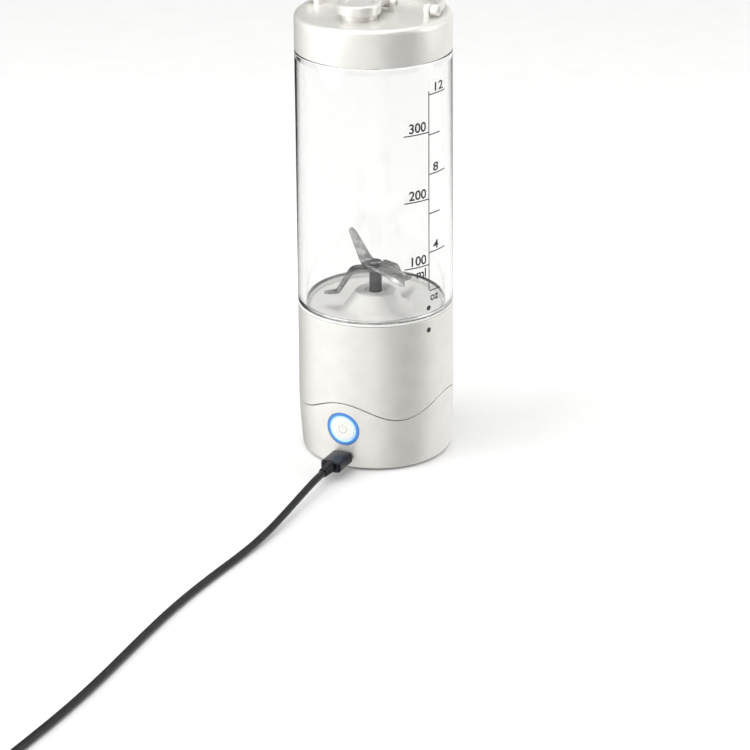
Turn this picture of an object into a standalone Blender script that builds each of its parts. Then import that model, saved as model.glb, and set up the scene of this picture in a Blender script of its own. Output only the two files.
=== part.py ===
"""Portable countertop blender: a cordless motor base with its blades, a clear screw-on vessel,
a carry lid with a flip spout, and a charging lead plugged into the base.

The origin is on the floor under the centre of the base. +Z is up and the front, where the power
button and the charging port are, faces -Y. Everything is in metres.
"""

import math

import bmesh
import bpy
from mathutils import Matrix, Vector

# Clearances
GAP = 0.0003  # between pieces that touch or fit one in the other
RUN = 0.0002  # round a shaft that turns
OVERLAP = 0.0005  # how far a shape runs into the one it is joined to
FAR = 0.1  # longer than anything that a cutter has to pass through

# Smoothness, as sides of a full circle
SHELL_SIDES = 40
PART_SIDES = 24
SMALL_SIDES = 12
SCREW_SIDES = 16

# Base housing
SEAM_Z = 0.0766  # where the vessel meets the base
SEAM_RADIUS = 0.03825
BASE_RADIUS = SEAM_RADIUS + 0.00035  # widest, at the wavy joint
HOUSING_WALL = 0.0022
HOUSING_BORE = BASE_RADIUS - HOUSING_WALL
BASE_TAPER = 0.00185  # how much smaller the foot is than the widest place
TAPER_POWER = 1.9
WAVE_MEAN_Z = 0.0311
WAVE_HEIGHT = 0.0042  # from the mean to a crest
WAVE_COUNT = 4
WAVE_GAP = 0.0005
FOOT_FILLET = 0.0013
FOOT_RIM = 0.0010  # round the opening in the underside
SHELL_BOTTOM_Z = 0.0010
COLLAR_WALL = 0.00265
COLLAR_RADIUS = SEAM_RADIUS - COLLAR_WALL  # the bore that takes the vessel's neck
COLLAR_DEPTH = 0.0146

# Foot and bottom plate
FOOT_HEIGHT = 0.0014
FOOT_WIDTH = 0.0080
PLATE_THICKNESS = 0.0018
PLATE_TOP_Z = FOOT_HEIGHT + GAP + PLATE_THICKNESS
SCREW_COUNT = 3
SCREW_CIRCLE = 0.0205
SCREW_HEAD_RADIUS = 0.0024
SCREW_SHANK_RADIUS = 0.0011
SCREW_HEAD_HEIGHT = 0.0011
SCREW_LENGTH = 0.0080
SCREW_POINT = 0.0006
SLOT_WIDTH = 0.0007
SLOT_LENGTH = 0.0032
SLOT_DEPTH = 0.0010

# Power button and its ring of light
BUTTON_Z = 0.0217
RING_RADIUS = 0.0086
RING_WIDTH = 0.0019
BUTTON_RADIUS = RING_RADIUS - RING_WIDTH - GAP
BUTTON_DEPTH = 0.0034  # from the housing's widest place to the button's back
BUTTON_TRAVEL = 0.0010
STEM_RADIUS = 0.0022
BOARD_SETBACK = 0.0111  # from the housing's widest place
BOARD_Y = -(BASE_RADIUS - BOARD_SETBACK)
BOARD_WIDTH = 0.0340
BOARD_HEIGHT = 0.0260
BOARD_THICKNESS = 0.0014
SWITCH_SIZE = 0.0060
SWITCH_HEIGHT = 0.0025

# Charging port
PORT_Z = 0.0072
PLUG_SHELL_WIDTH = 0.0083
PLUG_SHELL_HEIGHT = 0.0024
PLUG_SHELL_LENGTH = 0.0066
PLUG_SHELL_WALL = 0.0004
SOCKET_WALL = 0.0006
SOCKET_LENGTH = 0.0075
SOCKET_BACK = 0.0012
CHARGER_WIDTH = 0.0180
CHARGER_LENGTH = 0.0130
CHARGER_SETBACK = 0.0045

# Charging lead
PLUG_BODY_WIDTH = 0.0106
PLUG_BODY_HEIGHT = 0.0058
PLUG_BODY_LENGTH = 0.0146
PLUG_Y = -(BASE_RADIUS - 0.0007)  # face of the plug's body, just off the housing's tapered foot
RELIEF_LENGTH = 0.0075
RELIEF_RADIUS = 0.0029
CORD_RADIUS = 0.00175
COIL_X = 0.0200
COIL_Y = -0.3700
COIL_RADIUS = 0.01925  # at the middle of its turns
COIL_TURNS = 2.25
END_RUN = 0.0300  # from the coil's middle to the far plug's relief
USB_A_WIDTH = 0.0155
USB_A_HEIGHT = 0.0080
USB_A_LENGTH = 0.0230
USB_A_SHELL_WIDTH = 0.0120
USB_A_SHELL_HEIGHT = 0.0045
USB_A_SHELL_LENGTH = 0.0120

# Vessel
VESSEL_HEIGHT = 0.1289  # from the seam to the lid
VESSEL_SHOULDER_Z = SEAM_Z + VESSEL_HEIGHT
VESSEL_TAPER = 0.00035
VESSEL_TOP_RADIUS = SEAM_RADIUS - VESSEL_TAPER
VESSEL_WALL = 0.0036
NECK_WALL = 0.0014
THREAD_STARTS = 3
THREAD_RADIUS = 0.0006
THREAD_TURN = math.radians(75)
THREAD_RISE = 0.0030
NECK_RADIUS = COLLAR_RADIUS - THREAD_RADIUS - 0.0004
TOP_NECK_HEIGHT = 0.0125
VESSEL_RIM_Z = VESSEL_SHOULDER_Z + TOP_NECK_HEIGHT
LID_SKIRT = 0.0017
TOP_NECK_RADIUS = VESSEL_TOP_RADIUS - LID_SKIRT - THREAD_RADIUS - 2 * GAP
GASKET_HEIGHT = 0.0020

# Blade platform: the white floor of the vessel, with the cone that carries the shaft
PLATFORM_RADIUS = NECK_RADIUS - NECK_WALL - 0.0004
PLATFORM_EDGE_Z = SEAM_Z - 0.0004
DISH_RADIUS = 0.0172
DISH_Z = SEAM_Z - 0.0032
CONE_RADIUS = 0.0162
CONE_TOP_RADIUS = 0.0100
CONE_TOP_Z = SEAM_Z + 0.0054
FLOOR_WALL = 0.0020
CHANNEL_Z = SEAM_Z - 0.0121  # bottom of the channel that takes the vessel's neck
NECK_BOTTOM_Z = CHANNEL_Z + GASKET_HEIGHT + 2 * GAP
SHAFT_RADIUS = 0.0031
BEARING_RADIUS = SHAFT_RADIUS + 0.0021
BEARING_TUBE_RADIUS = BEARING_RADIUS + 0.0034
BEARING_TUBE_Z = SEAM_Z - 0.0146
BEARING_LENGTH = 0.0060
SEAL_LENGTH = 0.0034

# Blades
SHAFT_TOP_Z = SEAM_Z + 0.0160
SPIGOT_RADIUS = 0.0020
BLADE_THICKNESS = 0.0012
RIVET_RADIUS = 0.0031
RIVET_HEIGHT = 0.0014
LOWER_BLADE_ANGLE = math.radians(34.0)
UPPER_BLADE_ANGLE = math.radians(-24.2)
LEG_SWING = math.radians(36.0)  # how far the two legs are from being in line
WING_SWING = math.radians(6.0)
SWING_REACH = 0.0092  # from the axis, where an arm has its full swing

# Motor and drive
DECK_Z = SEAM_Z - 0.0216
DECK_THICKNESS = 0.0018
DECK_TOP_Z = DECK_Z + DECK_THICKNESS
MOTOR_RADIUS = 0.0150
MOTOR_CAP_HEIGHT = 0.0030
MOTOR_TOP_Z = DECK_Z - 0.0030
MOTOR_WALL = 0.0012
MOTOR_BOSS_RADIUS = 0.0050
MOTOR_SHAFT_RADIUS = 0.0016
MAGNET_THICKNESS = 0.0019
MAGNET_GAP = 0.0060  # of each magnet's ends from the middle
MAGNET_INSET = 0.0055  # of the magnets from the motor's ends
ROTOR_RADIUS = MOTOR_RADIUS - MOTOR_WALL - GAP - MAGNET_THICKNESS - 0.0010
COMMUTATOR_RADIUS = 0.0050
COUPLING_RADIUS = SHAFT_RADIUS + 0.0015
COUPLING_TOP_Z = BEARING_TUBE_Z - 0.0008
SHAFT_JOINT_Z = (DECK_TOP_Z + COUPLING_TOP_Z) / 2  # where the motor's shaft ends and the blades' begins
MOTOR_SCREW_OFFSET = 0.0080

# Cells, tray and inner frame
SLEEVE_THICKNESS = 0.0010
SLEEVE_RADIUS = HOUSING_BORE - 4 * GAP
SLEEVE_BORE = SLEEVE_RADIUS - SLEEVE_THICKNESS
SLEEVE_BOTTOM_Z = 0.0115
SLEEVE_TOP_Z = SEAM_Z - COLLAR_DEPTH - 0.0020
CELL_RADIUS = 0.0092
CELL_HEIGHT = 0.0490
CELL_CAP_RADIUS = 0.0030
CELL_STEP = 0.0010
CELL_X = SLEEVE_BORE - CELL_RADIUS - GAP
TRAY_HEIGHT = 0.0050
TRAY_WALL = 0.0012
TRAY_FRONT = CELL_RADIUS + 0.0018  # from the axis to the tray's flat front
TRAY_LOW_Z = PLATE_TOP_Z + GAP
CELL_Z = TRAY_LOW_Z + TRAY_WALL
MOTOR_BOTTOM_Z = TRAY_LOW_Z + TRAY_HEIGHT + 2 * GAP + MOTOR_CAP_HEIGHT + GAP

# Lid
LID_TOP_Z = VESSEL_RIM_Z + 0.0060
LID_WALL = 0.0016
LID_FILLET = 0.0030
RETAINER_INSET = 0.0010
LID_GASKET_HEIGHT = 0.0016
SPOUT_Y = -0.0150
SPOUT_RADIUS = 0.0085
SPOUT_WALL = 0.0019
SPOUT_BORE = SPOUT_RADIUS - SPOUT_WALL
SPOUT_TOP_Z = LID_TOP_Z + 0.0035
FLIP_Y = 0.0020
FLIP_Z = LID_TOP_Z + 0.0038
FLIP_PIN_RADIUS = 0.0010
FLIP_BARREL_RADIUS = 0.0024
FLIP_HALF_WIDTH = 0.0080
LUG_WIDTH = 0.0030
CAP_RADIUS = SPOUT_RADIUS + 0.0019
CAP_TOP_Z = LID_TOP_Z + 0.0076
CAP_SKIRT = 0.0009  # short, so that it clears the spout as it swings
CAP_FILLET = 0.0012
STOPPER_DEPTH = 0.0022
LOOP_RADIUS = VESSEL_TOP_RADIUS - 0.0054
LOOP_WIDTH = 0.0036
LOOP_HEIGHT = 0.0040
LOOP_EDGE = 0.0008
LOOP_Z = LID_TOP_Z + 0.0036
LOOP_PIN_RADIUS = 0.0012
LOOP_EYE_RADIUS = 0.0028


def collection(name):
    made = bpy.data.collections.new(name)
    bpy.context.scene.collection.children.link(made)
    return made


def clear_scene():
    for thing in list(bpy.data.objects):
        bpy.data.objects.remove(thing)


clear_scene()
PARTS = collection("portable_blender")
CUTTERS = collection("cutters")
CUTTERS.hide_render = True


def material(name, colour, roughness, metallic=0.0, alpha=1.0):
    made = bpy.data.materials.new(name)
    made.use_nodes = True
    shader = made.node_tree.nodes["Principled BSDF"]
    shader.inputs["Base Color"].default_value = (*colour, 1.0)
    shader.inputs["Roughness"].default_value = roughness
    shader.inputs["Metallic"].default_value = metallic
    shader.inputs["Alpha"].default_value = alpha
    return made


PEARL = material("pearl_plastic", (0.86, 0.85, 0.82), 0.25)
CLEAR = material("clear_plastic", (0.95, 0.97, 0.97), 0.05, alpha=0.35)
STEEL = material("steel", (0.62, 0.62, 0.63), 0.25, 1.0)
BRONZE = material("bronze", (0.55, 0.38, 0.2), 0.4, 1.0)
RUBBER = material("rubber", (0.05, 0.05, 0.055), 0.7)
SILICONE = material("silicone", (0.82, 0.82, 0.8), 0.6)
BLACK = material("black_plastic", (0.02, 0.02, 0.025), 0.4)
BLUE = material("light_guide", (0.1, 0.35, 0.9), 0.3)
GREEN = material("circuit_board", (0.03, 0.2, 0.08), 0.5)
CELL_WRAP = material("cell_wrap", (0.1, 0.3, 0.55), 0.4)
MAGNET = material("magnet", (0.12, 0.12, 0.13), 0.5)
COPPER = material("copper", (0.75, 0.4, 0.2), 0.35, 1.0)


def add_mesh(name, mesh, finish, cutter=False):
    made = bpy.data.objects.new(name, mesh)
    (CUTTERS if cutter else PARTS).objects.link(made)
    if cutter:
        made.hide_render = True
        made.display_type = "WIRE"
    else:
        mesh.materials.append(finish)
    return made


def settle(obj):
    """Turns the object's modifiers into its mesh, with its corners shared and its round sides smooth."""
    graph = bpy.context.evaluated_depsgraph_get()
    mesh = bpy.data.meshes.new_from_object(obj.evaluated_get(graph))
    old = obj.data
    obj.modifiers.clear()
    obj.data = mesh
    bpy.data.meshes.remove(old)
    shape = bmesh.new()
    shape.from_mesh(mesh)
    bmesh.ops.remove_doubles(shape, verts=shape.verts, dist=1e-6)
    shape.to_mesh(mesh)
    shape.free()
    mesh.shade_smooth()
    mesh.set_sharp_from_angle(angle=math.radians(35))
    return obj


def outward(profile):
    """The profile of (radius, height) corners, turned so that it runs down its outer side."""
    pairs = zip(profile, profile[1:] + profile[:1])
    area = sum(a[0] * b[1] - b[0] * a[1] for a, b in pairs)
    return profile if area < 0 else profile[::-1]


def turned(name, profile, finish=None, sides=PART_SIDES, cutter=False):
    """A ring or a disc: the closed profile, spun about Z. Corners on the axis close a disc."""
    corners = outward(profile)
    mesh = bpy.data.meshes.new(name)
    edges = [(i, (i + 1) % len(corners)) for i in range(len(corners))]
    edges = [(a, b) for a, b in edges if corners[a][0] > 0 or corners[b][0] > 0]
    mesh.from_pydata([(r, 0.0, z) for r, z in corners], edges, [])
    made = add_mesh(name, mesh, finish, cutter)
    spin = made.modifiers.new("spin", "SCREW")
    spin.steps = spin.render_steps = sides
    spin.use_merge_vertices = True
    spin.merge_threshold = 1e-6
    return settle(made)


def tube(name, inner, outer, low, high, finish=None, sides=PART_SIDES, cutter=False):
    return turned(name, [(inner, low), (outer, low), (outer, high), (inner, high)], finish, sides, cutter)


def rod(name, radius, low, high, finish=None, sides=SMALL_SIDES, cutter=False):
    return turned(name, [(0.0, low), (radius, low), (radius, high), (0.0, high)], finish, sides, cutter)


def box(name, size, centre, finish=None, bevel=0.0, cutter=False, rounding=2):
    mesh = bpy.data.meshes.new(name)
    shape = bmesh.new()
    bmesh.ops.create_cube(shape, size=1.0, matrix=Matrix.Diagonal((*size, 1.0)))
    shape.to_mesh(mesh)
    shape.free()
    made = add_mesh(name, mesh, finish, cutter)
    if bevel:
        edge = made.modifiers.new("edge", "BEVEL")
        edge.width = bevel
        edge.segments = rounding
        settle(made)
    place(made, Matrix.Translation(centre))
    return made


def prism(name, outline, width, finish=None, cutter=True):
    """A plate with that outline of (y, z) corners, anticlockwise, and its width along X."""
    count = len(outline)
    corners = [(side * width / 2, y, z) for side in (-1, 1) for y, z in outline]
    faces = [list(range(count))[::-1], list(range(count, 2 * count))]
    faces += [[i, (i + 1) % count, count + (i + 1) % count, count + i] for i in range(count)]
    mesh = bpy.data.meshes.new(name)
    mesh.from_pydata(corners, [], faces)
    return add_mesh(name, mesh, finish, cutter)


def place(obj, matrix):
    """Moves the object's mesh, so that its origin stays where the part's is."""
    obj.data.transform(matrix)
    obj.data.update()
    return obj


def facing_front(obj, height):
    """Lays a shape that was turned about Z along Y, its top towards the front, at that height."""
    return place(obj, Matrix.Translation((0, 0, height)) @ Matrix.Rotation(math.radians(90), 4, "X"))


def boolean(obj, other, operation="DIFFERENCE"):
    change = obj.modifiers.new(operation.lower(), "BOOLEAN")
    change.operation = operation
    change.object = other
    change.solver = "EXACT"
    return obj


def cut(obj, *cutters):
    for cutter in cutters:
        boolean(obj, cutter)
    return settle(obj)


def join(obj, *others):
    """Adds the other shapes to the object, and removes them."""
    for other in others:
        boolean(obj, other, "UNION")
    settle(obj)
    for other in others:
        bpy.data.objects.remove(other)
    return obj


def set_origin(obj, point):
    """Puts a moving piece's origin on its joint, without moving its shape."""
    place(obj, Matrix.Translation(-Vector(point)))
    obj.location = point
    return obj


def arc(centre, radius, start, end, count):
    """Corners along an arc, in degrees from +radius towards +height."""
    angles = [math.radians(start + (end - start) * i / count) for i in range(count + 1)]
    return [(centre[0] + radius * math.cos(a), centre[1] + radius * math.sin(a)) for a in angles]


# ---- Housing ----------------------------------------------------------------------------------


def lower_radius(z):
    """The housing's outer radius below the wavy joint."""
    drop = max(0.0, (WAVE_MEAN_Z - z) / WAVE_MEAN_Z)
    return BASE_RADIUS - BASE_TAPER * drop**TAPER_POWER


def wave_height(x, y):
    """Height of the wavy joint at that side of the base, with a crest over the button."""
    return WAVE_MEAN_Z + WAVE_HEIGHT * math.cos(WAVE_COUNT * math.atan2(x, -y))


def make_wavy(obj, edge_z, shift):
    """Moves the corners of the flat edge at edge_z onto the wave."""
    for corner in obj.data.vertices:
        if abs(corner.co.z - edge_z) < 1e-6:
            corner.co.z = wave_height(corner.co.x, corner.co.y) + shift
    obj.data.update()
    return obj


def foot_corners():
    """The outline from the foot's fillet up to below the wave's troughs."""
    fillet_z = SHELL_BOTTOM_Z + FOOT_FILLET
    side = lower_radius(fillet_z)
    low = arc((side - FOOT_FILLET, fillet_z), FOOT_FILLET, -90, 0, 4)
    straight_top = WAVE_MEAN_Z - WAVE_HEIGHT - 0.002
    heights = [fillet_z + (straight_top - fillet_z) * i / 4 for i in range(1, 5)]
    return low + [(lower_radius(z), z) for z in heights]


def make_envelope():
    """The outside of the lower housing as a solid, which trims the button and its ring."""
    return turned(
        "housing_envelope",
        [(0.0, SHELL_BOTTOM_Z)] + foot_corners() + [(BASE_RADIUS, SEAM_Z), (0.0, SEAM_Z)],
        sides=SHELL_SIDES,
        cutter=True,
    )


def make_upper_housing():
    rim_z = SEAM_Z - GAP / 2
    collar_z = SEAM_Z - COLLAR_DEPTH
    profile = [
        (SEAM_RADIUS - 0.0004, rim_z),
        (SEAM_RADIUS, rim_z - 0.0004),
        (BASE_RADIUS, WAVE_MEAN_Z),
        (HOUSING_BORE, WAVE_MEAN_Z),
        (HOUSING_BORE, collar_z),
        (COLLAR_RADIUS, collar_z + 0.001),
        (COLLAR_RADIUS, rim_z),
    ]
    shell = turned("upper_housing", profile, PEARL, SHELL_SIDES)
    return make_wavy(shell, WAVE_MEAN_Z, WAVE_GAP / 2)


def make_lower_housing():
    """Makes the housing below the wave, and returns the radius of the opening in its underside."""
    outside = foot_corners()
    fillet_z = SHELL_BOTTOM_Z + FOOT_FILLET
    opening = outside[0][0] - FOOT_RIM
    profile = outside + [
        (BASE_RADIUS, WAVE_MEAN_Z),
        (HOUSING_BORE, WAVE_MEAN_Z),
        (HOUSING_BORE, outside[-1][1]),
        (lower_radius(fillet_z) - HOUSING_WALL, fillet_z + 0.002),
        (opening, fillet_z),
        (opening, SHELL_BOTTOM_Z),
    ]
    shell = make_wavy(turned("lower_housing", profile, PEARL, SHELL_SIDES), WAVE_MEAN_Z, -WAVE_GAP / 2)
    hole = rod("button_hole", RING_RADIUS + GAP, BASE_RADIUS / 2, FAR, sides=PART_SIDES, cutter=True)
    port = box(
        "port_hole",
        (PLUG_SHELL_WIDTH + 4 * GAP, HOUSING_BORE, PLUG_SHELL_HEIGHT + 4 * GAP),
        (0, -HOUSING_BORE, PORT_Z),
        bevel=0.0012,
        cutter=True,
    )
    cut(shell, facing_front(hole, BUTTON_Z), port)
    return opening


def make_bottom(opening):
    low = PLATE_TOP_Z - PLATE_THICKNESS
    plate = rod("bottom_plate", opening - GAP, low, PLATE_TOP_Z, PEARL, SHELL_SIDES)
    holes = []
    for spot in screw_spots():
        seat_top = low + SCREW_HEAD_HEIGHT
        seat = rod("screw_seat", SCREW_HEAD_RADIUS + GAP, -GAP, seat_top, sides=SCREW_SIDES, cutter=True)
        holes += [place(seat, Matrix.Translation(spot)), screw_hole(spot)]
    cut(plate, *holes)
    for number, spot in enumerate(screw_spots(), 1):
        bottom_screw(number, spot, low)
    tube("foot_ring", opening - GAP - FOOT_WIDTH, opening - GAP, 0.0, FOOT_HEIGHT, RUBBER, SHELL_SIDES)


def bottom_screw(number, spot, low):
    head_top = low + SCREW_HEAD_HEIGHT - GAP
    profile = [
        (0.0, low),
        (SCREW_HEAD_RADIUS, low),
        (SCREW_HEAD_RADIUS, head_top),
        (SCREW_SHANK_RADIUS, head_top),
        (SCREW_SHANK_RADIUS, low + SCREW_LENGTH),
        (0.0, low + SCREW_LENGTH + SCREW_POINT),
    ]
    screw = turned(f"bottom_screw_{number}", profile, STEEL, SCREW_SIDES)
    slot = box("screw_slot", (SLOT_LENGTH, SLOT_WIDTH, SLOT_DEPTH), (0, 0, low), cutter=True)
    cross = box("screw_cross", (SLOT_WIDTH, SLOT_LENGTH, SLOT_DEPTH), (0, 0, low), cutter=True)
    place(cut(screw, slot, cross), Matrix.Translation(spot))


def screw_spots():
    angles = [math.radians(90 + 360 * i / SCREW_COUNT) for i in range(SCREW_COUNT)]
    return [(SCREW_CIRCLE * math.cos(a), SCREW_CIRCLE * math.sin(a), 0.0) for a in angles]


def screw_hole(spot, low=-FAR, high=FAR):
    """A cutter that clears a screw's shank."""
    hole = rod("screw_hole", SCREW_SHANK_RADIUS + GAP, low, high, sides=SCREW_SIDES, cutter=True)
    return place(hole, Matrix.Translation(spot))


# ---- Button, boards and cells -------------------------------------------------------------------


def make_button(envelope):
    back = BASE_RADIUS - BUTTON_DEPTH
    ring = tube("light_ring", BUTTON_RADIUS + GAP, RING_RADIUS, back, FAR, BLUE)
    trim(facing_front(ring, BUTTON_Z), envelope)
    stem_end = -BOARD_Y + BOARD_THICKNESS / 2 + SWITCH_HEIGHT + BUTTON_TRAVEL + GAP
    profile = [
        (0.0, stem_end),
        (STEM_RADIUS, stem_end),
        (STEM_RADIUS, back),
        (BUTTON_RADIUS, back),
        (BUTTON_RADIUS, FAR),
        (0.0, FAR),
    ]
    button = trim(facing_front(turned("power_button", profile, PEARL), BUTTON_Z), envelope)
    set_origin(button, (0, -BASE_RADIUS, BUTTON_Z))


def trim(obj, envelope):
    boolean(obj, envelope, "INTERSECT")
    return settle(obj)


def make_boards():
    box("control_board", (BOARD_WIDTH, BOARD_THICKNESS, BOARD_HEIGHT), (0, BOARD_Y, BUTTON_Z + 0.003), GREEN)
    switch_depth = SWITCH_HEIGHT - GAP
    switch_y = BOARD_Y - BOARD_THICKNESS / 2 - GAP - switch_depth / 2
    switch_size = (SWITCH_SIZE, switch_depth, SWITCH_SIZE)
    box("button_switch", switch_size, (0, switch_y, BUTTON_Z), BLACK, bevel=0.0003)
    front_y = PLUG_Y + OVERLAP + HOUSING_WALL + 2 * GAP
    width = PLUG_SHELL_WIDTH + 2 * SOCKET_WALL
    height = PLUG_SHELL_HEIGHT + 2 * SOCKET_WALL
    socket_y = front_y + SOCKET_LENGTH / 2
    size = (width, SOCKET_LENGTH, height)
    socket = box("charging_socket", size, (0, socket_y, PORT_Z), STEEL, bevel=0.0012)
    mouth = box(
        "socket_mouth",
        (PLUG_SHELL_WIDTH + 2 * GAP, SOCKET_LENGTH, PLUG_SHELL_HEIGHT + 2 * GAP),
        (0, socket_y - SOCKET_BACK, PORT_Z),
        bevel=0.0011,
        cutter=True,
    )
    cut(socket, mouth)
    board_top = PORT_Z - height / 2 - GAP
    size = (CHARGER_WIDTH, CHARGER_LENGTH, board_top - TRAY_LOW_Z)
    middle = (0, front_y + CHARGER_SETBACK + CHARGER_LENGTH / 2, (board_top + TRAY_LOW_Z) / 2)
    box("charging_board", size, middle, GREEN)


def make_cells(opening):
    tray_top = TRAY_LOW_Z + TRAY_HEIGHT
    tray = rod("battery_tray", opening - GAP, TRAY_LOW_Z, tray_top, BLACK, PART_SIDES)
    seats = []
    for side in (-1, 1):
        seat = rod("cell_seat", CELL_RADIUS + GAP, CELL_Z - GAP, FAR, sides=PART_SIDES, cutter=True)
        seats.append(place(seat, Matrix.Translation((side * CELL_X, 0, 0))))
    front = box("tray_front", (FAR, FAR, FAR), (0, -FAR / 2 - TRAY_FRONT, 0), cutter=True)
    middle = rod("tray_middle", MOTOR_RADIUS - 0.003, TRAY_LOW_Z + TRAY_WALL, FAR, cutter=True)
    cut(tray, *seats, front, middle, *[screw_hole(spot) for spot in screw_spots()])
    for number, side in enumerate((-1, 1), 1):
        top = CELL_Z + CELL_HEIGHT
        profile = [
            (0.0, CELL_Z),
            (CELL_RADIUS, CELL_Z),
            (CELL_RADIUS, top - CELL_STEP),
            (CELL_CAP_RADIUS, top - CELL_STEP),
            (CELL_CAP_RADIUS, top),
            (0.0, top),
        ]
        cell = turned(f"battery_cell_{number}", profile, CELL_WRAP, PART_SIDES)
        place(cell, Matrix.Translation((side * CELL_X, 0, 0)))


def make_sleeve():
    """The inner frame behind the wavy joint, open where the button and the port come through."""
    sleeve = tube(
        "inner_sleeve", SLEEVE_BORE, SLEEVE_RADIUS, SLEEVE_BOTTOM_Z, SLEEVE_TOP_Z, BLACK, SHELL_SIDES
    )
    width = 2 * (RING_RADIUS + 0.0050)
    high = BUTTON_Z + RING_RADIUS + 0.0010
    window = box("button_window", (width, SLEEVE_RADIUS, 2 * high), (0, -SLEEVE_RADIUS, 0), cutter=True)
    cut(sleeve, window)
    deck_bore = MOTOR_BOSS_RADIUS + 2 * GAP
    deck = tube("motor_deck", deck_bore, SLEEVE_BORE - GAP, DECK_Z, DECK_TOP_Z, BLACK, PART_SIDES)
    cut(deck, *[screw_hole(spot) for spot in motor_screw_spots()])


# ---- Motor and drive ----------------------------------------------------------------------------


def motor_screw_spots():
    return [(0, side * MOTOR_SCREW_OFFSET, 0) for side in (-1, 1)]


def make_motor():
    inside = MOTOR_RADIUS - MOTOR_WALL
    bore = MOTOR_SHAFT_RADIUS + RUN
    boss_z = DECK_Z + DECK_THICKNESS / 2
    profile = [
        (MOTOR_RADIUS, MOTOR_BOTTOM_Z),
        (MOTOR_RADIUS, MOTOR_TOP_Z - 0.0010),
        (MOTOR_RADIUS - 0.0010, MOTOR_TOP_Z),
        (MOTOR_BOSS_RADIUS, MOTOR_TOP_Z),
        (MOTOR_BOSS_RADIUS, boss_z),
        (bore, boss_z),
        (bore, MOTOR_TOP_Z - MOTOR_WALL),
        (inside, MOTOR_TOP_Z - MOTOR_WALL),
        (inside, MOTOR_BOTTOM_Z),
    ]
    can = turned("motor_can", profile, STEEL)
    cut(can, *[screw_hole(spot, MOTOR_TOP_Z - 2 * MOTOR_WALL) for spot in motor_screw_spots()])
    cap_top = MOTOR_BOTTOM_Z - GAP
    tube("motor_end_cap", bore, MOTOR_RADIUS, cap_top - MOTOR_CAP_HEIGHT, cap_top, BLACK)
    for name, side in (("motor_magnet_left", -1), ("motor_magnet_right", 1)):
        outer = inside - GAP
        low, high = MOTOR_BOTTOM_Z + MAGNET_INSET, MOTOR_TOP_Z - MOTOR_WALL - MAGNET_INSET
        magnet = tube(name, outer - MAGNET_THICKNESS, outer, low, high, MAGNET)
        half_x = side * (MAGNET_GAP - FAR / 2)
        half = box("magnet_half", (FAR, FAR, FAR), (half_x, 0, (low + high) / 2), cutter=True)
        cut(magnet, half)
    for name, spot in zip(("motor_screw_front", "motor_screw_back"), motor_screw_spots()):
        motor_screw(name, spot)


def motor_screw(name, spot):
    head_z = DECK_TOP_Z + GAP
    head_radius = SCREW_HEAD_RADIUS - 0.0004
    profile = [
        (0.0, MOTOR_TOP_Z - MOTOR_WALL + GAP),
        (SCREW_SHANK_RADIUS, MOTOR_TOP_Z - MOTOR_WALL + GAP),
        (SCREW_SHANK_RADIUS, head_z),
        (head_radius, head_z),
        (head_radius, head_z + SCREW_HEAD_HEIGHT),
        (0.0, head_z + SCREW_HEAD_HEIGHT),
    ]
    place(turned(name, profile, STEEL, SCREW_SIDES), Matrix.Translation(spot))


def make_drive():
    low = MOTOR_BOTTOM_Z - MOTOR_CAP_HEIGHT
    commutator_z = MOTOR_BOTTOM_Z + 0.0030
    winding_z = commutator_z + 0.0040
    winding_top = MOTOR_TOP_Z - MOTOR_WALL - 0.0070
    rotor = [
        (0.0, low),
        (MOTOR_SHAFT_RADIUS, low),
        (MOTOR_SHAFT_RADIUS, commutator_z),
        (COMMUTATOR_RADIUS, commutator_z),
        (COMMUTATOR_RADIUS, winding_z),
        (ROTOR_RADIUS, winding_z),
        (ROTOR_RADIUS, winding_top),
        (MOTOR_SHAFT_RADIUS, winding_top),
        (MOTOR_SHAFT_RADIUS, SHAFT_JOINT_Z - GAP),
        (0.0, SHAFT_JOINT_Z - GAP),
    ]
    turned("motor_rotor", rotor, COPPER)
    blade_bore = SHAFT_RADIUS + GAP
    motor_bore = MOTOR_SHAFT_RADIUS + GAP
    coupling = [
        (COUPLING_RADIUS, DECK_TOP_Z + GAP),
        (COUPLING_RADIUS, COUPLING_TOP_Z),
        (blade_bore, COUPLING_TOP_Z),
        (blade_bore, SHAFT_JOINT_Z),
        (motor_bore, SHAFT_JOINT_Z - GAP),
        (motor_bore, DECK_TOP_Z + GAP),
    ]
    turned("drive_coupling", coupling, STEEL)
    spigot_top = SHAFT_TOP_Z + 2 * (BLADE_THICKNESS + GAP) + RIVET_HEIGHT
    shaft = [
        (0.0, SHAFT_JOINT_Z + GAP),
        (SHAFT_RADIUS, SHAFT_JOINT_Z + GAP),
        (SHAFT_RADIUS, SHAFT_TOP_Z),
        (SPIGOT_RADIUS, SHAFT_TOP_Z),
        (SPIGOT_RADIUS, spigot_top),
        (0.0, spigot_top),
    ]
    turned("blade_shaft", shaft, STEEL, SCREW_SIDES)


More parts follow.
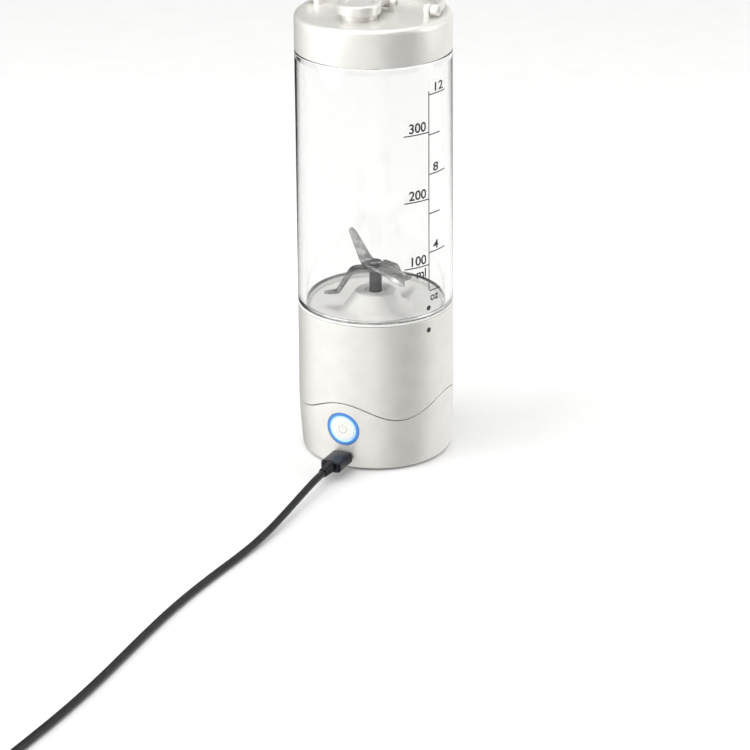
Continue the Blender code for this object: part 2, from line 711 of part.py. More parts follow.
def bent_blade(name, stations, angle, swing, base_z):
    """A blade pressed from strip. Each station is (out from the hub, height, left edge, right edge).

    The arm on the positive side is swung round the hub by the given angle."""
    steps = len(stations) - 1
    mesh = bpy.data.meshes.new(name)
    shape = bmesh.new()
    bmesh.ops.create_grid(shape, x_segments=steps, y_segments=2, size=1.0)
    for corner in shape.verts:
        out, height, left, right = stations[round((corner.co.x + 1) / 2 * steps)]
        share = (corner.co.y + 1) / 2
        turn = Matrix.Rotation(swing * min(1.0, max(0.0, out / SWING_REACH)), 3, "Z")
        corner.co = turn @ Vector((out, left + (right - left) * share, base_z + height))
    shape.to_mesh(mesh)
    shape.free()
    blade = add_mesh(name, mesh, STEEL)
    thick = blade.modifiers.new("thickness", "SOLIDIFY")
    thick.thickness = BLADE_THICKNESS
    thick.offset = 1.0
    settle(blade)
    cut(blade, rod("blade_hole", SPIGOT_RADIUS + GAP, base_z - 0.01, base_z + 0.01, cutter=True))
    return place(blade, Matrix.Rotation(angle, 4, "Z"))


def leg_stations(side):
    """One leg of the lower blade, from its tip: a foot that points out, a bend, and the hub."""
    leg = [
        (0.0255, -0.0113, 0.0005),
        (0.0228, -0.0112, 0.0019),
        (0.0192, -0.0109, 0.0025),
        (0.0178, -0.0099, 0.0027),
        (0.0126, -0.0021, 0.0031),
        (0.0108, -0.0004, 0.0035),
        (0.0092, 0.0, 0.0038),
        (0.0045, 0.0, 0.0041),
    ]
    return [(side * out, height, -half, half) for out, height, half in leg]


def make_blades():
    lower_z = SHAFT_TOP_Z + GAP
    upper_z = lower_z + BLADE_THICKNESS + GAP
    legs = leg_stations(-1) + leg_stations(1)[::-1]
    bent_blade("lower_blade", legs, LOWER_BLADE_ANGLE, LEG_SWING, lower_z)
    wings = [
        (-0.0190, 0.0142, -0.0009, 0.0009),
        (-0.0184, 0.0135, -0.0017, 0.0017),
        (-0.0172, 0.0122, -0.0022, 0.0022),
        (-0.0110, 0.0052, -0.0032, 0.0034),
        (-0.0076, 0.0012, -0.0037, 0.0042),
        (-0.0060, 0.0, -0.0039, 0.0046),
        (-0.0020, 0.0, -0.0046, 0.0050),
        (0.0040, 0.0, -0.0052, 0.0050),
        (0.0080, -0.0004, -0.0054, 0.0050),
        (0.0140, -0.0016, -0.0056, 0.0034),
        (0.0190, -0.0028, -0.0054, 0.0002),
        (0.0226, -0.0037, -0.0050, -0.0036),
    ]
    bent_blade("upper_blade", wings, UPPER_BLADE_ANGLE, WING_SWING, upper_z)
    rivet_z = upper_z + BLADE_THICKNESS + GAP
    inner = SPIGOT_RADIUS + GAP
    profile = [
        (inner, rivet_z),
        (RIVET_RADIUS, rivet_z),
        (RIVET_RADIUS, rivet_z + RIVET_HEIGHT * 0.5),
        (RIVET_RADIUS - 0.0005, rivet_z + RIVET_HEIGHT),
        (inner, rivet_z + RIVET_HEIGHT),
    ]
    turned("blade_rivet", profile, STEEL, SCREW_SIDES)


def make_platform():
    flange_radius = COLLAR_RADIUS - GAP
    flange_low = CHANNEL_Z - FLOOR_WALL
    skirt = PLATFORM_RADIUS - FLOOR_WALL
    under = DISH_Z - FLOOR_WALL
    profile = [
        (PLATFORM_RADIUS - 0.0006, PLATFORM_EDGE_Z),
        (PLATFORM_RADIUS, PLATFORM_EDGE_Z - 0.0006),
        (PLATFORM_RADIUS, CHANNEL_Z),
        (flange_radius, CHANNEL_Z),
        (flange_radius, flange_low),
        (skirt, flange_low),
        (skirt, PLATFORM_EDGE_Z - FLOOR_WALL - 0.0004),
        (DISH_RADIUS, under),
        (BEARING_TUBE_RADIUS, under),
        (BEARING_TUBE_RADIUS, BEARING_TUBE_Z),
        (BEARING_RADIUS, BEARING_TUBE_Z),
        (BEARING_RADIUS, CONE_TOP_Z),
        (CONE_TOP_RADIUS - 0.0008, CONE_TOP_Z),
        (CONE_TOP_RADIUS, CONE_TOP_Z - 0.0006),
        (CONE_RADIUS, DISH_Z + 0.0004),
        (DISH_RADIUS + 0.0004, DISH_Z),
    ]
    turned("blade_platform", profile, PEARL, SHELL_SIDES)
    inner, outer = SHAFT_RADIUS + RUN, BEARING_RADIUS - GAP
    low = BEARING_TUBE_Z + 0.0004
    tube("lower_bearing", inner, outer, low, low + BEARING_LENGTH, BRONZE)
    seal_low = CONE_TOP_Z - 0.0002 - SEAL_LENGTH
    upper = seal_low - GAP - BEARING_LENGTH
    tube("upper_bearing", inner, outer, upper, upper + BEARING_LENGTH, BRONZE)
    tube("shaft_seal", inner, outer, seal_low, seal_low + SEAL_LENGTH, RUBBER)


# ---- Vessel -------------------------------------------------------------------------------------


def as_mesh(curve_object, name):
    """The curve as a closed mesh, which a Boolean can use. The curve is removed."""
    graph = bpy.context.evaluated_depsgraph_get()
    mesh = bpy.data.meshes.new_from_object(curve_object.evaluated_get(graph))
    shape = bmesh.new()
    shape.from_mesh(mesh)
    bmesh.ops.remove_doubles(shape, verts=shape.verts, dist=1e-6)
    bmesh.ops.recalc_face_normals(shape, faces=shape.faces)
    shape.to_mesh(mesh)
    shape.free()
    made = add_mesh(name, mesh, CLEAR, cutter=True)
    made.matrix_world = curve_object.matrix_world
    bpy.data.objects.remove(curve_object)
    return made


def wire(name, points, radius, finish, resolution=2, cutter=False):
    """A round bar with filled ends that follows the points."""
    curve = bpy.data.curves.new(name, "CURVE")
    curve.dimensions = "3D"
    curve.bevel_depth = radius
    curve.bevel_resolution = resolution
    curve.use_fill_caps = True
    spline = curve.splines.new("POLY")
    spline.points.add(len(points) - 1)
    for knot, point in zip(spline.points, points):
        knot.co = (*point, 1.0)
    made = bpy.data.objects.new(name, curve)
    (CUTTERS if cutter else PARTS).objects.link(made)
    if finish:
        curve.materials.append(finish)
    return made


def threads(radius, low):
    """The short helical ridges of a quick screw fitting."""
    made = []
    steps = 8
    for start in range(THREAD_STARTS):
        begin = 2 * math.pi * start / THREAD_STARTS
        points = []
        for i in range(steps + 1):
            angle = begin + THREAD_TURN * i / steps
            height = low + THREAD_RISE * i / steps
            points.append((radius * math.cos(angle), radius * math.sin(angle), height))
        ridge = wire("thread_path", points, THREAD_RADIUS, None, resolution=0, cutter=True)
        made.append(as_mesh(ridge, "thread"))
    return made


def make_vessel():
    low = SEAM_Z + GAP / 2
    neck_inner = NECK_RADIUS - NECK_WALL
    top_inner = TOP_NECK_RADIUS - NECK_WALL
    wall_low, wall_high = low + 0.0040, VESSEL_SHOULDER_Z - 0.0040
    profile = [
        (NECK_RADIUS, NECK_BOTTOM_Z),
        (NECK_RADIUS, low),
        (SEAM_RADIUS - 0.0003, low),
        (SEAM_RADIUS, low + 0.0003),
        (VESSEL_TOP_RADIUS, VESSEL_SHOULDER_Z - 0.0006),
        (VESSEL_TOP_RADIUS - 0.0006, VESSEL_SHOULDER_Z),
        (TOP_NECK_RADIUS, VESSEL_SHOULDER_Z),
        (TOP_NECK_RADIUS, VESSEL_RIM_Z - 0.0004),
        (TOP_NECK_RADIUS - 0.0004, VESSEL_RIM_Z),
        (top_inner, VESSEL_RIM_Z),
        (top_inner, VESSEL_SHOULDER_Z),
        (VESSEL_TOP_RADIUS - VESSEL_WALL, wall_high),
        (SEAM_RADIUS - VESSEL_WALL, wall_low),
        (neck_inner, low - 0.0010),
        (neck_inner, NECK_BOTTOM_Z),
    ]
    vessel = turned("vessel", profile, CLEAR, SHELL_SIDES)
    join(vessel, *threads(NECK_RADIUS, NECK_BOTTOM_Z + 0.0022))
    join(vessel, *threads(TOP_NECK_RADIUS, VESSEL_SHOULDER_Z + 0.0035))
    gasket_low = CHANNEL_Z + GAP
    tube(
        "vessel_gasket",
        PLATFORM_RADIUS + GAP,
        COLLAR_RADIUS - 2 * GAP,
        gasket_low,
        gasket_low + GASKET_HEIGHT,
        SILICONE,
        SHELL_SIDES,
    )


# ---- Lid ----------------------------------------------------------------------------------------


def make_lid():
    low = VESSEL_SHOULDER_Z + GAP
    radius = VESSEL_TOP_RADIUS
    ceiling = LID_TOP_Z - LID_WALL
    inner = TOP_NECK_RADIUS + THREAD_RADIUS + 2 * GAP
    profile = [
        (inner, low),
        (radius - 0.0003, low),
        (radius, low + 0.0003),
        *arc((radius - LID_FILLET, LID_TOP_Z - LID_FILLET), LID_FILLET, 0, 90, 4),
        (0.0, LID_TOP_Z),
        (0.0, ceiling),
        (inner, ceiling),
    ]
    lid = turned("lid", profile, PEARL, SHELL_SIDES)
    nozzle = rod("nozzle", SPOUT_RADIUS, LID_TOP_Z - OVERLAP, SPOUT_TOP_Z, sides=PART_SIDES, cutter=True)
    place(nozzle, Matrix.Translation((0, SPOUT_Y, 0)))
    additions = [nozzle]
    pin_reach = FLIP_HALF_WIDTH + GAP + LUG_WIDTH / 2
    eye_reach = LOOP_RADIUS - LOOP_WIDTH / 2 - GAP - LUG_WIDTH / 2
    for side in (-1, 1):
        additions.append(lug("flip_lug", side * pin_reach, FLIP_Y, FLIP_Z, FLIP_BARREL_RADIUS))
        additions.append(lug("loop_lug", side * eye_reach, 0.0, LOOP_Z, LOOP_EYE_RADIUS))
    join(lid, *additions)
    bore = rod("spout_bore", SPOUT_BORE, ceiling - FAR / 10, FAR * 3, sides=PART_SIDES, cutter=True)
    place(bore, Matrix.Translation((0, SPOUT_Y, 0)) @ Matrix.Rotation(math.radians(5), 4, "Z"))
    flip_bore = cross_bore("flip_bore", FLIP_PIN_RADIUS + RUN, FLIP_Y, FLIP_Z, pin_reach + LUG_WIDTH)
    loop_bore = cross_bore("loop_bore", LOOP_PIN_RADIUS + RUN, 0.0, LOOP_Z, FAR / 2)
    size = (2 * eye_reach - 2 * LUG_WIDTH, FAR / 5, FAR / 5)
    middle = box("bore_middle", size, (0, 0, LOOP_Z), cutter=True)
    cut(loop_bore, middle)
    cut(lid, bore, flip_bore, loop_bore)
    gasket_low = VESSEL_RIM_Z + GAP
    gasket_top = gasket_low + LID_GASKET_HEIGHT
    gasket_bore = TOP_NECK_RADIUS - NECK_WALL - 0.0004
    tube("lid_gasket", gasket_bore, TOP_NECK_RADIUS + GAP, gasket_low, gasket_top, SILICONE, SHELL_SIDES)
    retainer_bore = TOP_NECK_RADIUS - NECK_WALL - RETAINER_INSET
    tube("gasket_retainer", retainer_bore, inner - GAP, gasket_top + GAP, ceiling - GAP, PEARL, SHELL_SIDES)


def cross_bore(name, radius, y, z, half_length):
    bore = rod(name, radius, -half_length, half_length, cutter=True, sides=16)
    place(bore, Matrix.Rotation(math.radians(90), 4, "Y"))
    return place(bore, Matrix.Translation((0, y, z)))


def lug(name, x, y, z, radius):
    """An upright ear on the lid, round at the top, with its pin hole to come."""
    foot = LID_TOP_Z - OVERLAP - z
    outline = [(-radius, foot), (radius, foot)] + arc((0.0, 0.0), radius, 0, 180, 12)
    ear = prism(name, outline, LUG_WIDTH)
    return place(ear, Matrix.Translation((x, y, z)))


def make_flip_cap():
    barrel = rod("spout_cap", FLIP_BARREL_RADIUS, -FLIP_HALF_WIDTH, FLIP_HALF_WIDTH, PEARL)
    place(barrel, Matrix.Rotation(math.radians(90), 4, "Y"))
    place(barrel, Matrix.Translation((0, FLIP_Y, FLIP_Z)))
    skirt_low = SPOUT_TOP_Z - CAP_SKIRT
    top_low = SPOUT_TOP_Z + GAP
    disc = turned(
        "cap_disc",
        [
            (0.0, top_low),
            (SPOUT_RADIUS + GAP, top_low),
            (SPOUT_RADIUS + GAP, skirt_low),
            (CAP_RADIUS, skirt_low),
            *arc((CAP_RADIUS - CAP_FILLET, CAP_TOP_Z - CAP_FILLET), CAP_FILLET, 0, 90, 3),
            (0.0, CAP_TOP_Z),
        ],
        sides=PART_SIDES,
        cutter=True,
    )
    place(disc, Matrix.Translation((0, SPOUT_Y, 0)))
    arm_low, arm_high = SPOUT_TOP_Z + GAP, CAP_TOP_Z - 0.0006
    arm = box(
        "cap_arm",
        (2 * FLIP_HALF_WIDTH - 0.001, FLIP_Y - SPOUT_Y - 0.001, arm_high - arm_low),
        (0, (FLIP_Y + SPOUT_Y) / 2 + 0.0002, (arm_high + arm_low) / 2),
        cutter=True,
    )
    cap = join(barrel, disc, arm)
    bore = cross_bore("cap_bore", FLIP_PIN_RADIUS + RUN, FLIP_Y, FLIP_Z, 0.02)
    set_origin(cut(cap, bore), (0, FLIP_Y, FLIP_Z))
    half_pin = FLIP_HALF_WIDTH + GAP + LUG_WIDTH
    pin = cross_pin("flip_pin", FLIP_PIN_RADIUS, half_pin)
    place(pin, Matrix.Translation((0, FLIP_Y, FLIP_Z)))
    stopper_top = top_low - GAP
    stopper = [
        (0.0, stopper_top - STOPPER_DEPTH),
        (SPOUT_BORE - 0.0010, stopper_top - STOPPER_DEPTH),
        (SPOUT_BORE - GAP, stopper_top - STOPPER_DEPTH + 0.0006),
        (SPOUT_BORE - GAP, stopper_top),
        (0.0, stopper_top),
    ]
    place(turned("spout_stopper", stopper, SILICONE), Matrix.Translation((0, SPOUT_Y, 0)))


def cross_pin(name, radius, half_length):
    pin = rod(name, radius, -half_length, half_length, STEEL, SCREW_SIDES)
    return place(pin, Matrix.Rotation(math.radians(90), 4, "Y"))


def make_carry_loop():
    """A bail that lies round the back of the lid and swings on two pins."""
    inner, outer = LOOP_RADIUS - LOOP_WIDTH / 2, LOOP_RADIUS + LOOP_WIDTH / 2
    low, high = LOOP_Z - LOOP_HEIGHT / 2, LOOP_Z + LOOP_HEIGHT / 2
    profile = [
        (inner, low + LOOP_EDGE),
        (inner + LOOP_EDGE, low),
        (outer - LOOP_EDGE, low),
        (outer, low + LOOP_EDGE),
        (outer, high - LOOP_EDGE),
        (outer - LOOP_EDGE, high),
        (inner + LOOP_EDGE, high),
        (inner, high - LOOP_EDGE),
    ]
    loop = turned("carry_loop", profile, PEARL, SHELL_SIDES)
    front = box("loop_front", (FAR, FAR, FAR), (0, -FAR / 2, LOOP_Z), cutter=True)
    cut(loop, front)
    eyes = []
    for side in (-1, 1):
        eye = rod("loop_eye", LOOP_EYE_RADIUS, -LOOP_WIDTH / 2, LOOP_WIDTH / 2, cutter=True)
        place(eye, Matrix.Rotation(math.radians(90), 4, "Y"))
        eyes.append(place(eye, Matrix.Translation((side * LOOP_RADIUS, 0, LOOP_Z))))
    join(loop, *eyes)
    bore = cross_bore("eye_bore", LOOP_PIN_RADIUS + RUN, 0.0, LOOP_Z, FAR / 2)
    set_origin(cut(loop, bore), (0, 0, LOOP_Z))
    half_pin = (LOOP_WIDTH + GAP + LUG_WIDTH) / 2
    for name, side in (("loop_pin_left", -1), ("loop_pin_right", 1)):
        pin = cross_pin(name, LOOP_PIN_RADIUS, half_pin)
        middle = LOOP_RADIUS + LOOP_WIDTH / 2 - half_pin
        place(pin, Matrix.Translation((side * middle, 0, LOOP_Z)))


# ---- Charging lead --------------------------------------------------------------------------------

# The lead's middle, from the plug's strain relief to the coil.
CORD_ROUTE = [
    (0.0000, -0.0607, 0.00720),
    (0.0003, -0.0700, 0.00705),
    (0.0010, -0.0860, 0.00610),
    (0.0016, -0.1020, 0.00480),
    (0.0018, -0.1180, 0.00345),
    (0.0013, -0.1340, 0.00235),
    (0.0002, -0.1500, 0.00180),
    (-0.0010, -0.1680, 0.00175),
    (-0.0018, -0.1880, 0.00175),
    (-0.0018, -0.2080, 0.00175),
    (-0.0010, -0.2280, 0.00175),
    (0.0002, -0.2480, 0.00175),
    (0.0014, -0.2680, 0.00175),
    (0.0021, -0.2880, 0.00175),
    (0.0021, -0.3080, 0.00175),
    (0.0015, -0.3280, 0.00175),
    (0.0009, -0.3440, 0.00175),
    (0.0008, -0.3575, 0.00175),
]
CORD_STEPS = 2  # points for each of the route's own


def smooth(route, steps):
    """Points along a curve that passes through the route's own points."""
    knots = [Vector(p) for p in route]
    knots = [2 * knots[0] - knots[1]] + knots + [2 * knots[-1] - knots[-2]]
    points = []
    for a, b, c, d in zip(knots, knots[1:], knots[2:], knots[3:]):
        for i in range(steps):
            t = i / steps
            cubic = (3 * b - 3 * c + d - a) * t**3
            points.append(0.5 * (2 * b + (c - a) * t + (2 * a - 5 * b + 4 * c - d) * t * t + cubic))
    return points + [knots[-2]]


def make_lead():
    shell_y = PLUG_Y + GAP
    metal = box(
        "usb_c_shell",
        (PLUG_SHELL_WIDTH, PLUG_SHELL_LENGTH, PLUG_SHELL_HEIGHT),
        (0, shell_y + PLUG_SHELL_LENGTH / 2, PORT_Z),
        STEEL,
        bevel=0.0010,
        rounding=3,
    )
    hollow = box(
        "plug_mouth",
        (PLUG_SHELL_WIDTH - 2 * PLUG_SHELL_WALL, PLUG_SHELL_LENGTH, PLUG_SHELL_HEIGHT - 2 * PLUG_SHELL_WALL),
        (0, shell_y + PLUG_SHELL_LENGTH / 2 + 0.0015, PORT_Z),
        bevel=0.0006,
        cutter=True,
    )
    cut(metal, hollow)
    box(
        "usb_c_plug",
        (PLUG_BODY_WIDTH, PLUG_BODY_LENGTH, PLUG_BODY_HEIGHT),
        (0, PLUG_Y - PLUG_BODY_LENGTH / 2, PORT_Z),
        BLACK,
        bevel=0.0018,
        rounding=3,
    )
    relief("usb_c_relief", (0, PLUG_Y - PLUG_BODY_LENGTH - GAP, PORT_Z), Vector((0, -1, 0)))
    wire("charging_cord", smooth(CORD_ROUTE, CORD_STEPS), CORD_RADIUS, BLACK)
    layers = math.ceil(COIL_TURNS)
    coil = tube(
        "cord_coil",
        COIL_RADIUS - CORD_RADIUS,
        COIL_RADIUS + CORD_RADIUS,
        0.0,
        layers * 2 * CORD_RADIUS,
        BLACK,
        PART_SIDES,
    )
    place(coil, Matrix.Translation((COIL_X, COIL_Y, 0)))
    top = (2 * COIL_TURNS + 1) * CORD_RADIUS
    side_y = COIL_Y - COIL_RADIUS
    floor_z = USB_A_HEIGHT / 2
    clear = math.sqrt((COIL_RADIUS + CORD_RADIUS) ** 2 - (COIL_RADIUS - CORD_RADIUS) ** 2)
    start_x = COIL_X + clear + GAP
    end_x = COIL_X + END_RUN
    run = [
        (start_x, side_y, top - 0.0012),
        (start_x + (end_x - start_x) * 0.33, side_y, top - 0.0028),
        (start_x + (end_x - start_x) * 0.66, side_y, floor_z + 0.0010),
        (end_x, side_y, floor_z),
    ]
    wire("cord_end", smooth(run, CORD_STEPS), CORD_RADIUS, BLACK)
    far = Vector((end_x + GAP + RELIEF_LENGTH, side_y, floor_z))
    relief("usb_a_relief", far, Vector((-1, 0, 0)))
    turn = Matrix.Translation(far + Vector((GAP, 0, 0))) @ Matrix.Rotation(math.radians(-90), 4, "Z")
    size = (USB_A_WIDTH, USB_A_LENGTH, USB_A_HEIGHT)
    place(box("usb_a_plug", size, (0, USB_A_LENGTH / 2, 0), BLACK, bevel=0.0014), turn)
    shell_centre = (0, USB_A_LENGTH + GAP + USB_A_SHELL_LENGTH / 2, 0)
    size = (USB_A_SHELL_WIDTH, USB_A_SHELL_LENGTH, USB_A_SHELL_HEIGHT)
    metal = box("usb_a_shell", size, shell_centre, STEEL)
    hollow = box(
        "usb_a_mouth",
        (size[0] - 2 * PLUG_SHELL_WALL, size[1], size[2] - 2 * PLUG_SHELL_WALL),
        (0, shell_centre[1] + 0.0010, 0),
        cutter=True,
    )
    place(cut(metal, hollow), turn)


def relief(name, start, direction):
    """The tapered sleeve where the lead leaves a plug, drawn from its thick end."""
    thin = CORD_RADIUS + 0.0005
    profile = [
        (0.0, 0.0),
        (RELIEF_RADIUS, 0.0),
        (RELIEF_RADIUS, RELIEF_LENGTH * 0.45),
        (thin, RELIEF_LENGTH),
        (0.0, RELIEF_LENGTH),
    ]
    sleeve = turned(name, profile, BLACK, SMALL_SIDES)
    turn = direction.to_track_quat("Z", "Y").to_matrix().to_4x4()
    return place(sleeve, Matrix.Translation(start) @ turn)


def main():
    envelope = make_envelope()
    make_upper_housing()
    opening = make_lower_housing()
    make_bottom(opening)
    make_button(envelope)
    make_boards()
    make_cells(opening)
    make_sleeve()
    make_motor()
    make_drive()
    make_blades()
    make_platform()
    make_vessel()
    make_lid()
    make_flip_cap()
    make_carry_loop()
    make_lead()


main()
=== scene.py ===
"""Looks of a portable blender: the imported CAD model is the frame, and every visible surface is made here.

Metres, +Z up, the front faces -Y. Angles round the axis are in degrees from the front, towards +X.
"""

import math

import bmesh
import bpy
import numpy as np
from mathutils import Matrix, Vector


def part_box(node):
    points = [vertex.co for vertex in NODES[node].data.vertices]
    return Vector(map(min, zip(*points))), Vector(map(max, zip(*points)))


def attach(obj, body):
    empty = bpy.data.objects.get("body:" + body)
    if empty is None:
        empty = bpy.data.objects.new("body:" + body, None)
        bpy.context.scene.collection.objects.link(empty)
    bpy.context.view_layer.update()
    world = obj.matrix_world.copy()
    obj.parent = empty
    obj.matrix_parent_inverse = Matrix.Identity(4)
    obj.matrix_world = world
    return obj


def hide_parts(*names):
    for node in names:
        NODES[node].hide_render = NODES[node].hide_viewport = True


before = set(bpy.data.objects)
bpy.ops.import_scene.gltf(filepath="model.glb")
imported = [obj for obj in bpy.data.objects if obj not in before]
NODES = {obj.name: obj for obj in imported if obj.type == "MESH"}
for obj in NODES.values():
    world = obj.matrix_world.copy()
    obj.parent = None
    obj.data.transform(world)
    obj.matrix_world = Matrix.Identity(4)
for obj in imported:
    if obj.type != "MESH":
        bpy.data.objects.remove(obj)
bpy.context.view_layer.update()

# ---- Sizes, from the frame --------------------------------------------------------------------

GAP = 0.0003
HOUSING_LOW, HOUSING_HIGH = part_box("lower_housing")
HOUSING_TOP_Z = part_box("upper_housing")[1].z
VESSEL_LOW, VESSEL_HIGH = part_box("vessel")
LID_LOW_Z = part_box("lid")[0].z
BASE_RADIUS = HOUSING_HIGH.x
SEAM_Z = HOUSING_TOP_Z + GAP / 2
SEAM_RADIUS = BASE_RADIUS - 0.00035
RING_LOW, RING_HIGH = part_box("light_ring")
BUTTON_LOW, BUTTON_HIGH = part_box("power_button")
PLUG_LOW, PLUG_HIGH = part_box("usb_c_plug")
BUTTON_Z = (RING_LOW.z + RING_HIGH.z) / 2
PORT_Z = (PLUG_LOW.z + PLUG_HIGH.z) / 2
RING_RADIUS = (RING_HIGH.x - RING_LOW.x) / 2
BUTTON_RADIUS = (BUTTON_HIGH.x - BUTTON_LOW.x) / 2

# Housing
WALL = 0.0022
WAVE_MEAN_Z = 0.0311
WAVE_HEIGHT = 0.0042
WAVE_COUNT = 4
WAVE_GAP = 0.0005
WAVE_LIP = 0.00025
TAPER = 0.00185
TAPER_POWER = 1.9
SHELL_BOTTOM_Z = HOUSING_LOW.z
FOOT_FILLET = 0.0013
RING_GAP = 0.0003

# Vessel
SHOULDER_Z = LID_LOW_Z - GAP
RIM_Z = VESSEL_HIGH.z
VESSEL_RADIUS = 0.0379
NECK_RADIUS = 0.0346
NECK_WALL = 0.0014
TOP_NECK_RADIUS = 0.0350
VESSEL_WALL = 0.0036
NECK_JOINT = 0.00003
BAND_HEIGHT = 0.0012

SIDES = 256


# ---- Mesh helpers -------------------------------------------------------------------------------


def add_object(name, data):
    made = bpy.data.objects.new(name, data)
    bpy.context.scene.collection.objects.link(made)
    return made


def finish_piece(obj, material, body, replaces=()):
    """The piece's material, the body that it moves with and the CAD nodes that it stands for."""
    obj.data.materials.clear()
    obj.data.materials.append(material)
    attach(obj, body)
    if replaces:
        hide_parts(*replaces)
    return obj


def smooth_shade(obj, angle=30):
    obj.data.shade_smooth()
    obj.data.set_sharp_from_angle(angle=math.radians(angle))
    return obj


def from_bmesh(name, shape):
    bmesh.ops.recalc_face_normals(shape, faces=shape.faces)
    mesh = bpy.data.meshes.new(name)
    shape.to_mesh(mesh)
    shape.free()
    return add_object(name, mesh)


def outline(corners, steps=5):
    """A closed outline of (radius, height) points from corners of (radius, height, fillet)."""
    points = []
    count = len(corners)
    for i, (r, z, fillet) in enumerate(corners):
        here = Vector((r, z))
        if not fillet:
            points.append((r, z))
            continue
        before = (Vector(corners[i - 1][:2]) - here).normalized()
        after = (Vector(corners[(i + 1) % count][:2]) - here).normalized()
        half = before.angle(after) / 2
        reach = fillet / math.tan(half)
        start, end = here + before * reach, here + after * reach
        centre = here + (before + after).normalized() * (fillet / math.sin(half))
        for k in range(steps + 1):
            blend = (start - centre).lerp(end - centre, k / steps)
            point = centre + blend.normalized() * fillet
            points.append((point.x, point.y))
    return points


def spin(name, points, sides=SIDES):
    """A closed outline turned about Z. Points at radius 0 close the piece on its axis."""
    shape = bmesh.new()
    rings = []
    for r, z in points:
        if r < 1e-7:
            rings.append([shape.verts.new((0, 0, z))] * sides)
            continue
        turn = [2 * math.pi * k / sides for k in range(sides)]
        rings.append([shape.verts.new((r * math.sin(a), -r * math.cos(a), z)) for a in turn])
    for i, ring in enumerate(rings):
        join_rings(shape, ring, rings[(i + 1) % len(rings)])
    return smooth_shade(from_bmesh(name, shape))


def join_rings(shape, ring, follow):
    """Faces between two rings. A ring that is one corner repeated gives triangles."""
    for k in range(len(ring)):
        after = (k + 1) % len(ring)
        unique = list(dict.fromkeys([ring[k], ring[after], follow[after], follow[k]]))
        if len(unique) > 2:
            shape.faces.new(unique)


def loft(shape, rows):
    """Closes rows of corners into one skin with an end on the first and the last."""
    for row, follow in zip(rows, rows[1:]):
        join_rings(shape, row, follow)
    shape.faces.new(rows[0])
    shape.faces.new(rows[-1])


def disc(name, radius, low, high, sides, low_edge=0, high_edge=0):
    """A round bar along Z, for a piece or a cutter."""
    corners = [(0, low, 0), (radius, low, low_edge), (radius, high, high_edge), (0, high, 0)]
    return spin(name, outline(corners), sides)


def smooth(knots, steps):
    """Points on curves through the knots, which are vectors or arrays, steps from one to the next."""
    knots = [2 * knots[0] - knots[1]] + knots + [2 * knots[-1] - knots[-2]]
    points = []
    for a, b, c, d in zip(knots, knots[1:], knots[2:], knots[3:]):
        for i in range(steps):
            t = i / steps
            cubic = (3 * b - 3 * c + d - a) * t**3
            points.append(0.5 * (2 * b + (c - a) * t + (2 * a - 5 * b + 4 * c - d) * t * t + cubic))
    return points + [knots[-2]]


def wave(x, y):
    return WAVE_HEIGHT * math.cos(WAVE_COUNT * math.atan2(x, -y))


def bend_to_wave(obj, reach):
    """Shifts the corners near the wavy joint with it, by less the further they are from it."""
    for corner in obj.data.vertices:
        share = max(0.0, 1 - abs(corner.co.z - WAVE_MEAN_Z) / reach)
        corner.co.z += wave(corner.co.x, corner.co.y) * share
    return obj


def modifier_result(obj):
    graph = bpy.context.evaluated_depsgraph_get()
    mesh = bpy.data.meshes.new_from_object(obj.evaluated_get(graph))
    obj.modifiers.clear()
    obj.data = mesh
    return obj


def boolean(obj, other, operation="DIFFERENCE"):
    change = obj.modifiers.new("cut", "BOOLEAN")
    change.operation = operation
    change.object = other
    change.solver = "EXACT"
    modifier_result(obj)
    bpy.data.objects.remove(other)
    return obj


def rounded_box(name, size, centre, radius, segments=4):
    shape = bmesh.new()
    bmesh.ops.create_cube(shape, size=1.0, matrix=Matrix.Diagonal((*size, 1.0)))
    obj = from_bmesh(name, shape)
    edge = obj.modifiers.new("edge", "BEVEL")
    edge.width = radius
    edge.segments = segments
    modifier_result(obj)
    obj.data.transform(Matrix.Translation(centre))
    return smooth_shade(obj, 40)


def move(obj, matrix):
    obj.data.transform(matrix)
    obj.data.update()
    return obj


def to_front(height):
    """From a shape turned about Z to one that points out of the front at that height."""
    return Matrix.Translation((0, 0, height)) @ Matrix.Rotation(math.radians(90), 4, "X")


def lower_radius(z):
    drop = max(0.0, (WAVE_MEAN_Z - z) / WAVE_MEAN_Z)
    return BASE_RADIUS - TAPER * drop**TAPER_POWER


# ---- Materials ----------------------------------------------------------------------------------


def blank(name):
    material = bpy.data.materials.new(name)
    material.use_nodes = True
    tree = material.node_tree
    return material, tree, tree.nodes["Principled BSDF"]


def coordinates(tree, scale=(1, 1, 1)):
    where = tree.nodes.new("ShaderNodeTexCoord")
    mapping = tree.nodes.new("ShaderNodeMapping")
    mapping.inputs["Scale"].default_value = scale
    tree.links.new(where.outputs["Object"], mapping.inputs["Vector"])
    return mapping.outputs["Vector"]


def noise(tree, vector, scale, detail=4, roughness=0.55):
    made = tree.nodes.new("ShaderNodeTexNoise")
    made.inputs["Scale"].default_value = scale
    made.inputs["Detail"].default_value = detail
    made.inputs["Roughness"].default_value = roughness
    tree.links.new(vector, made.inputs["Vector"])
    return made.outputs["Fac"]


def ramp(tree, fac, low, high, start=0.35, end=0.65):
    made = tree.nodes.new("ShaderNodeValToRGB")
    made.color_ramp.elements[0].position = start
    made.color_ramp.elements[1].position = end
    made.color_ramp.elements[0].color = (*low, 1)
    made.color_ramp.elements[1].color = (*high, 1)
    tree.links.new(fac, made.inputs["Fac"])
    return made.outputs["Color"]


